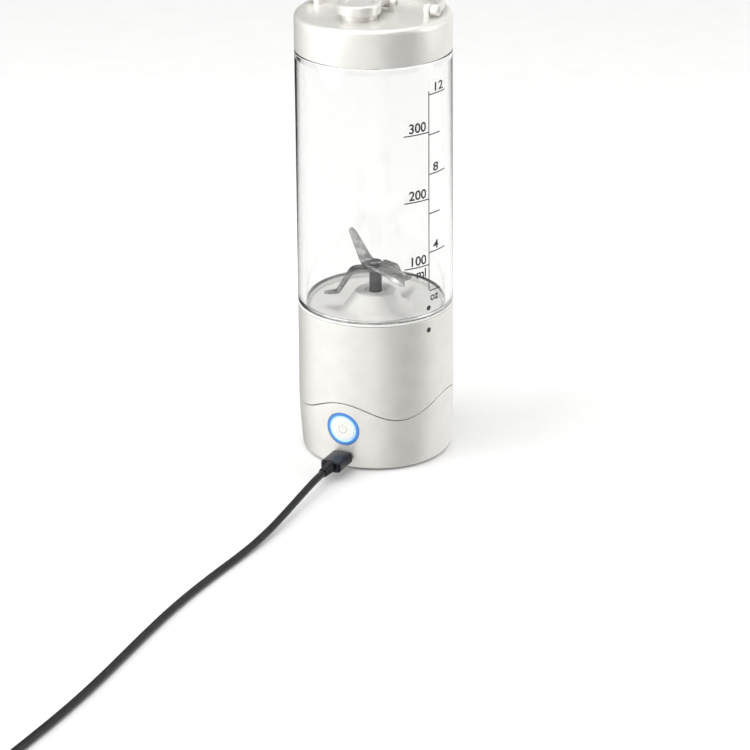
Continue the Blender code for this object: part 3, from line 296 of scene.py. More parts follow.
def remap(tree, fac, low, high, start=0.3, end=0.7):
    made = tree.nodes.new("ShaderNodeMapRange")
    made.inputs["From Min"].default_value = start
    made.inputs["From Max"].default_value = end
    made.inputs["To Min"].default_value = low
    made.inputs["To Max"].default_value = high
    tree.links.new(fac, made.inputs["Value"])
    return made.outputs["Result"]


def add_bump(tree, shader, fac, strength, depth):
    made = tree.nodes.new("ShaderNodeBump")
    made.inputs["Strength"].default_value = strength
    made.inputs["Distance"].default_value = depth
    tree.links.new(fac, made.inputs["Height"])
    tree.links.new(made.outputs["Normal"], shader.inputs["Normal"])


def surface(name, dark, light, rough, grain, bump, stretch=(1, 1, 1), metallic=0.0, coat=0.0, gloss=0.5):
    """A solid finish: colour varies between dark and light in soft patches, roughness and bump in a finer grain.

    rough is the lowest and highest roughness, grain the noise scale per metre, and bump the depth in metres."""
    material, tree, shader = blank(name)
    where = coordinates(tree, stretch)
    patches = noise(tree, where, grain * 0.12, detail=3)
    fine = noise(tree, where, grain, detail=6)
    tree.links.new(ramp(tree, patches, dark, light), shader.inputs["Base Color"])
    tree.links.new(remap(tree, fine, *rough), shader.inputs["Roughness"])
    add_bump(tree, shader, fine, 0.5, bump)
    shader.inputs["Metallic"].default_value = metallic
    shader.inputs["Specular IOR Level"].default_value = gloss
    shader.inputs["Coat Weight"].default_value = coat
    shader.inputs["Coat Roughness"].default_value = 0.06
    return material


PEARL = surface(
    "pearl_shell", (0.775, 0.76, 0.725), (0.815, 0.80, 0.765), (0.34, 0.40),
    900, 0.000004, metallic=0.42, coat=0.3,
)
# Lighter than the shell's pearl: partly the white of the moulded inner parts, partly painted light, made paler
# to make up for the light that the clear wall and the lid keep from the blade floor.
PEARL_INNER_BRIGHTENED = surface(
    "pearl_moulded_brightened", (0.90, 0.888, 0.865), (0.94, 0.93, 0.91), (0.30, 0.42), 1100, 0.00001, coat=0.2
)
STEEL = surface(
    "polished_steel", (0.50, 0.50, 0.51), (0.66, 0.66, 0.67), (0.07, 0.12), 700, 0.000002, metallic=1
)
FROSTED = surface("frosted_neck", (0.84, 0.84, 0.82), (0.90, 0.90, 0.885), (0.35, 0.50), 1200, 0.00001)
BRUSHED = surface(
    "brushed_steel", (0.12, 0.12, 0.12), (0.36, 0.36, 0.36), (0.18, 0.32),
    2600, 0.00001, (0.06, 1, 1), 1,
)
SHAFT_STEEL = surface(
    "shaft_steel", (0.05, 0.05, 0.052), (0.10, 0.10, 0.104), (0.07, 0.12), 700, 0.000002, metallic=1
)
PLATED = surface(
    "plated_shell", (0.66, 0.66, 0.67), (0.78, 0.78, 0.79), (0.16, 0.28), 1500, 0.000004, metallic=1
)
BRONZE = surface(
    "sintered_bronze", (0.40, 0.26, 0.13), (0.60, 0.42, 0.24), (0.35, 0.55), 3000, 0.00002, metallic=1
)
RUBBER = surface("foot_rubber", (0.028, 0.028, 0.030), (0.045, 0.045, 0.048), (0.60, 0.80), 2400, 0.00003)
SILICONE = surface("soft_silicone", (0.74, 0.74, 0.725), (0.82, 0.82, 0.805), (0.42, 0.55), 1800, 0.00001)
CABLE = surface(
    "cable_jacket", (0.006, 0.006, 0.008), (0.012, 0.012, 0.015), (0.30, 0.42), 2400, 0.00001, gloss=0.3
)
MOULDED = surface(
    "plug_moulding", (0.005, 0.006, 0.010), (0.010, 0.012, 0.020), (0.24, 0.34),
    2000, 0.000012, gloss=0.3,
)
INK = surface("printed_ink", (0.022, 0.023, 0.026), (0.040, 0.042, 0.046), (0.45, 0.60), 3000, 0.000004)
BOARD = surface(
    "board_laminate", (0.010, 0.085, 0.035), (0.020, 0.135, 0.060), (0.30, 0.50),
    1400, 0.00001, coat=0.3,
)
WRAP = surface("cell_sleeve", (0.045, 0.16, 0.34), (0.07, 0.22, 0.44), (0.24, 0.38), 900, 0.00001, coat=0.3)
FERRITE = surface("ferrite", (0.035, 0.035, 0.037), (0.075, 0.075, 0.08), (0.50, 0.70), 2600, 0.00002)
WINDING = surface(
    "copper_winding", (0.42, 0.17, 0.07), (0.72, 0.36, 0.18), (0.22, 0.42), 2600, 0.00004, (1, 1, 6), 1
)


def clear_plastic():
    material, tree, shader = blank("clear_tritan")
    where = coordinates(tree)
    fine = noise(tree, where, 420, detail=3)
    shader.inputs["Base Color"].default_value = (0.970, 0.972, 0.965, 1)
    tree.links.new(remap(tree, fine, 0.012, 0.035), shader.inputs["Roughness"])
    add_bump(tree, shader, noise(tree, where, 60, detail=2), 0.25, 0.00004)
    shader.inputs["Transmission Weight"].default_value = 1.0
    shader.inputs["IOR"].default_value = 1.46
    return material


def glow(name, inner, outer, colours, positions, strength, rough):
    """A glowing face: its colour runs from inner to outer radius about the button's axis. The light ring is lit
    from behind; on the button face the glow is painted light.
    """
    material, tree, shader = blank(name)
    where = tree.nodes.new("ShaderNodeTexCoord")
    offset = tree.nodes.new("ShaderNodeMapping")
    offset.inputs["Location"].default_value = (0, 0, -BUTTON_Z)
    offset.inputs["Scale"].default_value = (1, 0, 1)
    tree.links.new(where.outputs["Object"], offset.inputs["Vector"])
    length = tree.nodes.new("ShaderNodeVectorMath")
    length.operation = "LENGTH"
    tree.links.new(offset.outputs["Vector"], length.inputs[0])
    across = remap(tree, length.outputs["Value"], 0.0, 1.0, inner, outer)
    colour = ramp(tree, across, *colours, *positions)
    tree.links.new(colour, shader.inputs["Base Color"])
    tree.links.new(colour, shader.inputs["Emission Color"])
    tree.links.new(remap(tree, noise(tree, where.outputs["Object"], 1200), *rough), shader.inputs["Roughness"])
    shader.inputs["Emission Strength"].default_value = strength
    return material


CLEAR = clear_plastic()
RING_COLOURS = ((0.50, 0.78, 0.96), (0.045, 0.17, 0.46))
LIT_RING = glow("lit_ring", BUTTON_RADIUS, RING_RADIUS, RING_COLOURS, (0.0, 0.42), 0.50, (0.25, 0.40))
# The button face is no lamp: its faint glow, and the bluish tint of its colour towards its edge, are painted
# light from the lit ring round it.
BUTTON_COLOURS = ((0.82, 0.81, 0.78), (0.78, 0.88, 0.95))
BUTTON_FACE = glow("button_face", 0.0, BUTTON_RADIUS, BUTTON_COLOURS, (0.70, 1.0), 0.05, (0.30, 0.40))


# ---- Camera and charging lead ---------------------------------------------------------------------


def make_camera():
    azimuth, elevation = math.radians(26.0), math.radians(21.5)
    target, distance = Vector((0, 0, 0.075)), 1.347
    data = bpy.data.cameras.new("camera")
    data.sensor_width = 36.0
    data.lens = 130.75
    data.shift_x = -0.001
    data.shift_y = -0.0976
    data.clip_start = 0.05
    camera = add_object("camera", data)
    out = Vector(
        (
            math.sin(azimuth) * math.cos(elevation),
            -math.cos(azimuth) * math.cos(elevation),
            math.sin(elevation),
        )
    )
    camera.location = target + out * distance
    aim = (-out).to_track_quat("-Z", "Y").to_matrix().to_4x4()
    roll = Matrix.Rotation(math.radians(-0.5), 4, "Z")
    camera.matrix_world = Matrix.Translation(camera.location) @ aim @ roll
    bpy.context.scene.camera = camera


make_camera()

CORD_RADIUS = 0.00175
CORD_ROUTE = [
    (0.0000, -0.0607, 0.00720),
    (0.0003, -0.0700, 0.00705),
    (0.0010, -0.0860, 0.00610),
    (0.0016, -0.1020, 0.00480),
    (0.0018, -0.1180, 0.00345),
    (0.0013, -0.1340, 0.00235),
    (0.0002, -0.1500, 0.00180),
    (-0.0010, -0.1680, 0.00175),
    (-0.0018, -0.1880, 0.00175),
    (-0.0018, -0.2080, 0.00175),
    (-0.0010, -0.2280, 0.00175),
    (0.0002, -0.2480, 0.00175),
    (0.0014, -0.2680, 0.00175),
    (0.0021, -0.2880, 0.00175),
    (0.0021, -0.3080, 0.00175),
    (0.0015, -0.3280, 0.00175),
    (0.0009, -0.3440, 0.00175),
    (0.0008, -0.3575, 0.00175),
]
COIL_X, COIL_Y = 0.0200, -0.3700
COIL_RADIUS = 0.01925
COIL_TURNS = 2.25
TURN_POINTS = 48
COIL_STRIDE = 6  # of the turn's points, every sixth guides the curve
CORD_STEPS = 6
# Where the lead's last straight run is guided, as shares of it, and how far it is lifted there
RUN_SHARES = (0.12, 0.32, 0.55, 0.78)
RUN_LIFTS = (0.0010, 0.0016, 0.0002, -0.0012)


def lead_points():
    coil = []
    total = round(COIL_TURNS * TURN_POINTS)
    for i in range(total + 1):
        angle = math.pi + 2 * math.pi * i / TURN_POINTS
        height = CORD_RADIUS * (1 + 2 * i / TURN_POINTS)
        coil.append((COIL_X + COIL_RADIUS * math.cos(angle), COIL_Y + COIL_RADIUS * math.sin(angle), height))
    relief_low, relief_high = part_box("usb_a_relief")
    plug_z = (relief_low.z + relief_high.z) / 2
    end = Vector((relief_low.x - GAP, (relief_low.y + relief_high.y) / 2, plug_z))
    start = Vector(coil[-1])
    run = [start.lerp(end, share) for share in RUN_SHARES]
    for point, lift in zip(run, RUN_LIFTS):
        point.z += lift
    points = smooth([Vector(point) for point in CORD_ROUTE], CORD_STEPS)
    onward = [points[-1]] + coil[::COIL_STRIDE] + run + [end]
    return points + smooth([Vector(point) for point in onward], CORD_STEPS)[1:]


def make_lead():
    points = lead_points()
    curve = bpy.data.curves.new("charging_lead", "CURVE")
    curve.dimensions = "3D"
    curve.bevel_depth = CORD_RADIUS
    curve.bevel_resolution = 5
    curve.use_fill_caps = True
    spline = curve.splines.new("POLY")
    spline.points.add(len(points) - 1)
    for knot, point in zip(spline.points, points):
        knot.co = (*point, 1.0)
    lead = add_object("charging_lead", curve)
    finish_piece(lead, CABLE, "lead", ["charging_cord", "cord_coil", "cord_end"])
    length = sum((b - a).length for a, b in zip(points, points[1:]))
    return lead, points[0], length


LEAD, LEAD_START, LEAD_LENGTH = make_lead()


# ---- Base -----------------------------------------------------------------------------------------


def make_upper_shell():
    top = HOUSING_TOP_Z
    inner = BASE_RADIUS - WALL
    collar = 0.0356
    rows = [top - (top - WAVE_MEAN_Z) * i / 24 for i in range(1, 24)]
    outside = [SEAM_RADIUS + (BASE_RADIUS - SEAM_RADIUS) * min(1, (top - z) / (top - WAVE_MEAN_Z)) for z in rows]
    low = WAVE_MEAN_Z + WAVE_GAP / 2
    corners = [(collar, top, 0.0003), (SEAM_RADIUS, top, 0.0004)]
    corners += [(radius, z, 0) for radius, z in zip(outside, rows)]
    corners += [(BASE_RADIUS, low, WAVE_LIP), (inner, low, 0.0002)]
    corners += [(inner, low + 0.004, 0), (inner, low + 0.012, 0), (inner, 0.062, 0), (collar, 0.063, 0)]
    shell = bend_to_wave(spin("upper_shell", outline(corners)), 0.030)
    finish_piece(shell, PEARL, "base", ["upper_housing"])


def make_lower_shell():
    high = WAVE_MEAN_Z - WAVE_GAP / 2
    fillet_z = SHELL_BOTTOM_Z + FOOT_FILLET
    side = lower_radius(fillet_z)
    corners = [(side, SHELL_BOTTOM_Z, FOOT_FILLET)]
    corners += [(lower_radius(z), z, 0) for z in np.linspace(fillet_z + 0.001, high - 0.0008, 22)]
    inner = BASE_RADIUS - WALL
    corners += [(BASE_RADIUS, high, WAVE_LIP), (inner, high, 0.0002)]
    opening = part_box("bottom_plate")[1].x + GAP
    corners += [(inner, high - 0.008, 0), (side - WALL, fillet_z + 0.002, 0)]
    corners += [(opening, fillet_z, 0), (opening, SHELL_BOTTOM_Z, 0)]
    shell = bend_to_wave(spin("lower_shell", outline(corners)), 0.016)
    hole = disc("button_cut", RING_RADIUS + RING_GAP / 2, 0.02, 0.06, 96)
    boolean(shell, move(hole, to_front(BUTTON_Z)))
    port = rounded_box("port_cut", (0.0095, 0.03, 0.0036), (0, -0.036, PORT_Z), 0.0017)
    boolean(shell, port)
    smooth_shade(shell)
    finish_piece(shell, PEARL, "base", ["lower_housing"])


def skin_radius(x, z):
    """How far the housing's face is in front of the axis, at that place beside the button."""
    return math.sqrt(max(0.0, lower_radius(z) ** 2 - x * x))


def front_disc(name, inner, outer, depth, proud, edge, dome=0.0):
    """A disc or ring set in the housing's front, with its face following the housing's curve.

    proud is how far the face stands out of the housing, and edge the roll at its sides."""
    radii = [outer, outer, outer - edge * 0.3, outer - edge]
    drops = [depth, edge, edge * 0.25, 0.0]
    flat = np.linspace(outer - edge, inner + edge, 7)[1:] if inner else np.linspace(outer - edge, 0.0, 9)[1:]
    radii += list(flat)
    drops += [0.0] * len(flat)
    if inner:
        radii += [inner + edge * 0.3, inner, inner]
        drops += [edge * 0.25, edge, depth]
    sides = 96
    shape = bmesh.new()
    rings = []
    for radius, drop in zip(radii, drops):
        ring = []
        for k in range(1 if radius < 1e-7 else sides):
            a = 2 * math.pi * k / sides
            x, z = radius * math.sin(a), BUTTON_Z + radius * math.cos(a)
            face = skin_radius(x, z) + proud + dome * (1 - (radius / outer) ** 2)
            y = -(face - drop) if drop < depth else -(BASE_RADIUS - depth)
            ring.append(shape.verts.new((x, y, z)))
        rings.append(ring * sides if len(ring) == 1 else ring)
    pairs = list(zip(rings, rings[1:])) + ([(rings[-1], rings[0])] if inner else [])
    for ring, follow in pairs:
        join_rings(shape, ring, follow)
    if not inner:
        shape.faces.new(rings[0])
    return smooth_shade(from_bmesh(name, shape), 50)


def make_button():
    ring = front_disc("light_guide", BUTTON_RADIUS + 0.0001, RING_RADIUS - 0.0001, 0.0030, -0.00005, 0.00025)
    finish_piece(ring, LIT_RING, "base", ["light_ring"])
    button = front_disc("button_cap", 0.0, BUTTON_RADIUS - 0.0001, 0.0030, 0.0, 0.0004, dome=-0.0002)
    finish_piece(button, BUTTON_FACE, "button", ["power_button"])
    power_mark()


def power_mark():
    """The usual open ring with a stroke through its gap, in the button's face."""
    sides = 40
    gap = math.radians(36)
    angles = [gap + (2 * math.pi - 2 * gap) * k / sides for k in range(sides + 1)]
    arc = [(0.0021 * math.sin(a), 0.0021 * math.cos(a)) for a in angles]
    stroke = [(0.0, 0.0027 - 0.0024 * k / 8) for k in range(9)]
    material = surface("button_mark", (0.60, 0.55, 0.54), (0.66, 0.62, 0.60), (0.4, 0.5), 2500, 0.000004)
    for name, line in (("mark_ring", arc), ("mark_stroke", stroke)):
        shape = bmesh.new()
        rows = []
        for i, (x, z) in enumerate(line):
            ax, az = line[max(i - 1, 0)]
            bx, bz = line[min(i + 1, len(line) - 1)]
            along = Vector((bx - ax, bz - az)).normalized() * 0.00022
            row = []
            for side, lift in ((-1, -0.0001), (1, -0.0001), (1, 0.00002), (-1, 0.00002)):
                px, pz = x - along.y * side, BUTTON_Z + z + along.x * side
                centre_drop = 0.0002 * (1 - (math.hypot(px, pz - BUTTON_Z) / BUTTON_RADIUS) ** 2)
                row.append(shape.verts.new((px, -(skin_radius(px, pz) - centre_drop + lift), pz)))
            rows.append(row)
        loft(shape, rows)
        finish_piece(smooth_shade(from_bmesh(name, shape)), material, "button")


def make_platform():
    edge = NECK_RADIUS - NECK_WALL - 0.0004
    under = edge - 0.0020
    flange, flange_top, flange_low = 0.0353, 0.0645, 0.0625
    boss, boss_low, cone_under = 0.0086, 0.062, 0.0714
    bore, cone_top = 0.0052, 0.0820
    corners = [
        (edge, SEAM_Z - 0.0004, 0.0004),
        (edge, flange_top, 0.0004),
        (flange, flange_top, 0.0003),
        (flange, flange_low, 0.0003),
        (under, flange_low, 0),
        (under, SEAM_Z - 0.0028, 0.0010),
        (0.0172, cone_under, 0.0005),
        (boss, cone_under, 0.0005),
        (boss, boss_low, 0.0003),
        (bore, boss_low, 0),
        (bore, cone_top, 0.0003),
        (0.0100, cone_top, 0.0011),
        (0.0160, 0.0737, 0.0016),
        (0.0185, 0.0732, 0.004),
    ]
    platform = spin("blade_floor", outline(corners, 6), 192)
    finish_piece(platform, PEARL_INNER_BRIGHTENED, "base", ["blade_platform"])


# ---- Blades ---------------------------------------------------------------------------------------

BLADE_THICKNESS = 0.0012
GROUND_EDGE = 0.22  # of the thickness, left at a ground side
BLUNT_EDGE = 0.8  # of the thickness, left at a side that isn't ground
SWING_REACH = 0.0092  # from the axis, where an arm has its full swing
TANG_RADIUS = 0.0020  # of the shaft, through the blades
SHAFT_RADIUS = 0.0031


def blade(name, stations, angle, swing, low_z, node):
    """A pressed blade. Each station is (out, height, left edge, right edge, left grind, right grind).

    The arm on the positive side is swung round the hub by the given angle."""
    fine = smooth([np.array(station, float) for station in stations], 5)
    shape = bmesh.new()
    rows = []
    for i, (out, height, left, right, grind_left, grind_right) in enumerate(fine):
        before, after = fine[max(i - 1, 0)], fine[min(i + 1, len(fine) - 1)]
        along = Vector((after[0] - before[0], 0, after[1] - before[1])).normalized()
        up = Vector((-along.z, 0, along.x))
        up = up if up.z > 0 else -up
        base = Vector((out, 0, low_z + height))
        span = right - left
        ground, blunt = BLADE_THICKNESS * GROUND_EDGE, BLADE_THICKNESS * BLUNT_EDGE
        gl, gr = min(grind_left, span * 0.4), min(grind_right, span * 0.4)
        section = [
            (left, 0.0),
            (right, 0.0),
            (right, ground if gr else blunt),
            (right - max(gr, 0.0002), BLADE_THICKNESS),
            (left + max(gl, 0.0002), BLADE_THICKNESS),
            (left, ground if gl else blunt),
        ]
        turn = Matrix.Rotation(swing * min(1.0, max(0.0, out / SWING_REACH)), 3, "Z")
        rows.append([shape.verts.new(turn @ (base + Vector((0, y, 0)) + up * h)) for y, h in section])
    loft(shape, rows)
    made = from_bmesh(name, shape)
    boolean(made, disc("blade_bore", 0.0021, 0.08, 0.12, 48))
    smooth_shade(made, 20)
    move(made, Matrix.Rotation(angle, 4, "Z"))
    finish_piece(made, BRUSHED, "drive", [node])


def make_blades():
    lower_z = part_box("blade_rivet")[0].z - 2 * (BLADE_THICKNESS + GAP)
    half = [
        (0.0255, -0.0113, 0.0005, 0.0003),
        (0.0228, -0.0112, 0.0019, 0.0010),
        (0.0192, -0.0109, 0.0025, 0.0010),
        (0.0178, -0.0099, 0.0027, 0.0008),
        (0.0126, -0.0021, 0.0031, 0.0004),
        (0.0108, -0.0004, 0.0035, 0.0),
        (0.0092, 0.0, 0.0038, 0.0),
        (0.0045, 0.0, 0.0041, 0.0),
    ]
    legs = [(-out, z, -w, w, 0.0, grind) for out, z, w, grind in half]
    legs += [(out, z, -w, w, grind, 0.0) for out, z, w, grind in half[::-1]]
    blade("lower_cutter", legs, math.radians(34.0), math.radians(36.0), lower_z, "lower_blade")
    wings = [
        (-0.0190, 0.0142, -0.0009, 0.0009, 0.0, 0.0003),
        (-0.0184, 0.0135, -0.0017, 0.0017, 0.0, 0.0010),
        (-0.0172, 0.0122, -0.0022, 0.0022, 0.0, 0.0012),
        (-0.0110, 0.0052, -0.0032, 0.0034, 0.0, 0.0012),
        (-0.0076, 0.0012, -0.0037, 0.0042, 0.0, 0.0006),
        (-0.0060, 0.0, -0.0039, 0.0046, 0.0, 0.0),
        (-0.0020, 0.0, -0.0046, 0.0050, 0.0, 0.0),
        (0.0040, 0.0, -0.0052, 0.0050, 0.0, 0.0),
        (0.0080, -0.0004, -0.0054, 0.0050, 0.0008, 0.0),
        (0.0140, -0.0016, -0.0056, 0.0034, 0.0014, 0.0),
        (0.0190, -0.0028, -0.0054, 0.0002, 0.0014, 0.0),
        (0.0226, -0.0037, -0.0050, -0.0036, 0.0004, 0.0),
    ]
    upper_z = lower_z + BLADE_THICKNESS + GAP
    blade("upper_cutter", wings, math.radians(-24.2), math.radians(6.0), upper_z, "upper_blade")
    low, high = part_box("blade_rivet")
    bore = TANG_RADIUS + GAP
    corners = [
        (bore, low.z, 0),
        (SHAFT_RADIUS, low.z, 0.0001),
        (SHAFT_RADIUS, high.z, 0.0006),
        (bore, high.z, 0.0002),
    ]
    finish_piece(spin("hub_rivet", outline(corners), 96), BRUSHED, "drive", ["blade_rivet"])
    low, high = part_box("blade_shaft")
    corners = [
        (0, low.z, 0),
        (SHAFT_RADIUS, low.z, 0.0003),
        (SHAFT_RADIUS, lower_z - GAP, 0.0003),
        (TANG_RADIUS, lower_z - GAP, 0),
        (TANG_RADIUS, high.z, 0.0005),
        (0, high.z, 0),
    ]
    finish_piece(spin("drive_shaft", outline(corners), 96), SHAFT_STEEL, "drive", ["blade_shaft"])


# ---- Vessel and its markings ------------------------------------------------------------------------


def make_vessel():
    """The clear wall, and under it the frosted foot and neck that screw into the base."""
    foot = SEAM_Z + GAP / 2
    low = foot + BAND_HEIGHT + NECK_JOINT
    neck_inner = NECK_RADIUS - NECK_WALL
    top_inner = TOP_NECK_RADIUS - NECK_WALL
    corners = [
        (SEAM_RADIUS, low, 0.0003),
        (VESSEL_RADIUS, SHOULDER_Z, 0.0008),
        (TOP_NECK_RADIUS, SHOULDER_Z, 0.0004),
        (TOP_NECK_RADIUS, RIM_Z, 0.0005),
        (top_inner, RIM_Z, 0.0005),
        (top_inner, SHOULDER_Z, 0.0012),
        (VESSEL_RADIUS - VESSEL_WALL, SHOULDER_Z - 0.0040, 0.0020),
        (SEAM_RADIUS - VESSEL_WALL, low + 0.0010, 0.0005),
        (neck_inner, low + 0.0006, 0.0002),
        (neck_inner, low, 0.0002),
    ]
    vessel = spin("clear_vessel", outline(corners, 6), 256)
    finish_piece(vessel, CLEAR, "vessel", ["vessel"])
    neck = [
        (neck_inner, VESSEL_LOW.z, 0.0004),
        (NECK_RADIUS, VESSEL_LOW.z, 0.0004),
        (NECK_RADIUS, foot, 0.0002),
        (SEAM_RADIUS, foot, 0.0003),
        (SEAM_RADIUS, foot + BAND_HEIGHT, 0.0001),
        (neck_inner, foot + BAND_HEIGHT, 0.0002),
    ]
    finish_piece(spin("frosted_neck", outline(neck), 256), FROSTED, "vessel", ["vessel"])


MARK_DEPTH = 0.00006
MARK_GAP = 0.00002  # between a mark and its wall
LETTER_WEIGHT = 0.020  # of a letter's size, added to its strokes. At 0.024 the eight breaks up
DOT_RADIUS = 0.0013
DOT_ANGLE = 68.0
LINE = 0.00058
SCALE_ANGLE = 68.5
SCALE_ZERO = 0.0718
SCALE_BOTTOM = 0.092
SCALE_TOP_ML = 360
ML_STEP = 0.0003335
OZ_ML = 29.57
ML_TICK = 0.0141
OZ_TICK_LONG, OZ_TICK_SHORT = 0.0123, 0.0080
FIGURE_LIFT = 0.0011  # of a figure's foot above its tick


def wrap(obj, radius, angle, z):
    """Lays a flat mark on the wall of a cylinder, with its own origin at that angle and height."""
    shape = bmesh.new()
    shape.from_mesh(obj.data)
    xs = [v.co.x for v in shape.verts]
    count = int((max(xs) - min(xs)) / 0.0005)
    for i in range(1, count + 1):
        where = min(xs) + (max(xs) - min(xs)) * i / (count + 1)
        geometry = shape.verts[:] + shape.edges[:] + shape.faces[:]
        bmesh.ops.bisect_plane(shape, geom=geometry, plane_co=(where, 0, 0), plane_no=(1, 0, 0), dist=1e-7)
    bmesh.ops.remove_doubles(shape, verts=shape.verts, dist=1e-6)
    shape.to_mesh(obj.data)
    shape.free()
    for corner in obj.data.vertices:
        turn = math.radians(angle) + corner.co.x / radius
        out = radius + MARK_GAP + corner.co.z
        corner.co = Vector((out * math.sin(turn), -out * math.cos(turn), z + corner.co.y))
    obj.data.update()
    return obj


def bar(name, x0, x1, y0, y1):
    shape = bmesh.new()
    size = Matrix.Diagonal((x1 - x0, y1 - y0, MARK_DEPTH, 1.0))
    place = Matrix.Translation(((x0 + x1) / 2, (y0 + y1) / 2, MARK_DEPTH / 2))
    bmesh.ops.create_cube(shape, size=1.0, matrix=place @ size)
    return from_bmesh(name, shape)


def lettering(name, text, size, align, stretch=1.0):
    curve = bpy.data.curves.new(name, "FONT")
    curve.body = text
    curve.size = size
    curve.align_x = align
    curve.extrude = MARK_DEPTH / 2
    curve.offset = size * LETTER_WEIGHT
    made = add_object(name, curve)
    graph = bpy.context.evaluated_depsgraph_get()
    mesh = bpy.data.meshes.new_from_object(made.evaluated_get(graph))
    bpy.data.objects.remove(made)
    mesh.transform(Matrix.Translation((0, 0, MARK_DEPTH / 2)) @ Matrix.Diagonal((stretch, 1, 1, 1)))
    return add_object(name, mesh)


def dot(name, z, body, radius):
    made = wrap(disc(name, DOT_RADIUS, 0, MARK_DEPTH, 48, 0, 0.00003), radius, DOT_ANGLE, z)
    finish_piece(made, INK, body)


def wall_radius(z):
    share = (z - SEAM_Z) / (SHOULDER_Z - SEAM_Z)
    return SEAM_RADIUS + (VESSEL_RADIUS - SEAM_RADIUS) * share


def mark(obj, z, angle=SCALE_ANGLE):
    finish_piece(wrap(obj, wall_radius(z), angle, z), INK, "vessel")


def make_scale():
    top_z = SCALE_ZERO + ML_STEP * SCALE_TOP_ML
    middle = (SCALE_BOTTOM + top_z) / 2
    half = (top_z - SCALE_BOTTOM) / 2
    mark(bar("scale_line", -LINE / 2, LINE / 2, -half, half), middle)
    ml_angle = SCALE_ANGLE - 2.6
    for ml in (100, 200, 300):
        z = SCALE_ZERO + ML_STEP * ml
        mark(bar(f"tick_{ml}_ml", -ML_TICK, -LINE / 2, -LINE / 2, LINE / 2), z)
        mark(lettering(f"figure_{ml}", str(ml), 0.0066, "RIGHT"), z + FIGURE_LIFT, ml_angle)
    below = SCALE_ZERO + ML_STEP * 100 - 0.0055
    mark(lettering("unit_ml", "ml", 0.0062, "RIGHT"), below, ml_angle)
    for oz in (2, 4, 6, 8, 10, 12):
        z = SCALE_ZERO + ML_STEP * OZ_ML * oz
        named = oz % 4 == 0
        reach = OZ_TICK_LONG if named else OZ_TICK_SHORT
        mark(bar(f"tick_{oz}_oz", LINE / 2, reach, -LINE / 2, LINE / 2), z)
        if named:
            figure = lettering(f"figure_{oz}_oz", str(oz), 0.0060, "LEFT", 1.35)
            mark(figure, z + FIGURE_LIFT, SCALE_ANGLE + 4.2)
    below = SCALE_ZERO + ML_STEP * OZ_ML * 2 - 0.0052
    mark(lettering("unit_oz", "oz", 0.0058, "LEFT"), below, SCALE_ANGLE + 1.0)


# ---- Lid ------------------------------------------------------------------------------------------

LID_TOP_Z = 0.2240
LID_THICKNESS = 0.0016
ROOTED = 0.0005  # how far what stands on the lid reaches into it
NOZZLE_RADIUS = 0.0085
NOZZLE_BORE = 0.0066
NOZZLE_TOP_Z = 0.2275
EAR_WIDTH = 0.0030
FLIP_EAR_X = 0.0098
LOOP_EAR_INSET = 0.0036  # of a loop ear inside the loop's middle line
LOOP_HALF_WIDTH = 0.0018
FLIP_HOLE, LOOP_HOLE = 0.0012, 0.0014


def make_lid():
    ceiling = LID_TOP_Z - LID_THICKNESS
    inner = TOP_NECK_RADIUS + 0.0012
    corners = [
        (inner, LID_LOW_Z, 0.0003),
        (VESSEL_RADIUS, LID_LOW_Z, 0.0004),
        (VESSEL_RADIUS, LID_TOP_Z, 0.0030),
        (0, LID_TOP_Z, 0),
        (0, ceiling, 0),
        (inner, ceiling, 0.0010),
    ]
    lid = spin("lid_shell", outline(corners, 8), 192)
    spout = Matrix.Translation((0, middle_of("spout_stopper").y, 0))
    nozzle = disc("nozzle", NOZZLE_RADIUS, LID_TOP_Z - ROOTED, NOZZLE_TOP_Z, 96, 0, 0.0006)
    boolean(lid, move(nozzle, spout), "UNION")
    boolean(lid, move(disc("bore", NOZZLE_BORE, 0.215, 0.24, 96), spout))
    return smooth_shade(lid)


def lug_outline(radius, foot, steps=24):
    """An upright ear's (y, z) outline about its pin, round at the top."""
    turn = [math.pi * k / steps for k in range(steps + 1)]
    return [(-radius, foot), (radius, foot)] + [(radius * math.cos(a), radius * math.sin(a)) for a in turn]


def ear(name, x, y, z, radius):
    points = lug_outline(radius, LID_TOP_Z - ROOTED - z)
    shape = bmesh.new()
    sides = [[shape.verts.new((x + s * EAR_WIDTH / 2, y + a, z + b)) for a, b in points] for s in (-1, 1)]
    count = len(points)
    for k in range(count):
        shape.faces.new([sides[0][k], sides[0][(k + 1) % count], sides[1][(k + 1) % count], sides[1][k]])
    shape.faces.new(sides[0])
    shape.faces.new(sides[1])
    made = from_bmesh(name, shape)
    edge = made.modifiers.new("edge", "BEVEL")
    edge.width = 0.0003
    edge.segments = 3
    edge.limit_method = "ANGLE"
    return modifier_result(made)


def across(name, radius, half, y, z):
    """A rod along X."""
    rod = disc(name, radius, -half, half, 48, 0.0002, 0.0002)
    move(rod, Matrix.Rotation(math.radians(90), 4, "Y"))
    return move(rod, Matrix.Translation((0, y, z)))


def middle_of(node):
    low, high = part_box(node)
    return (low + high) / 2


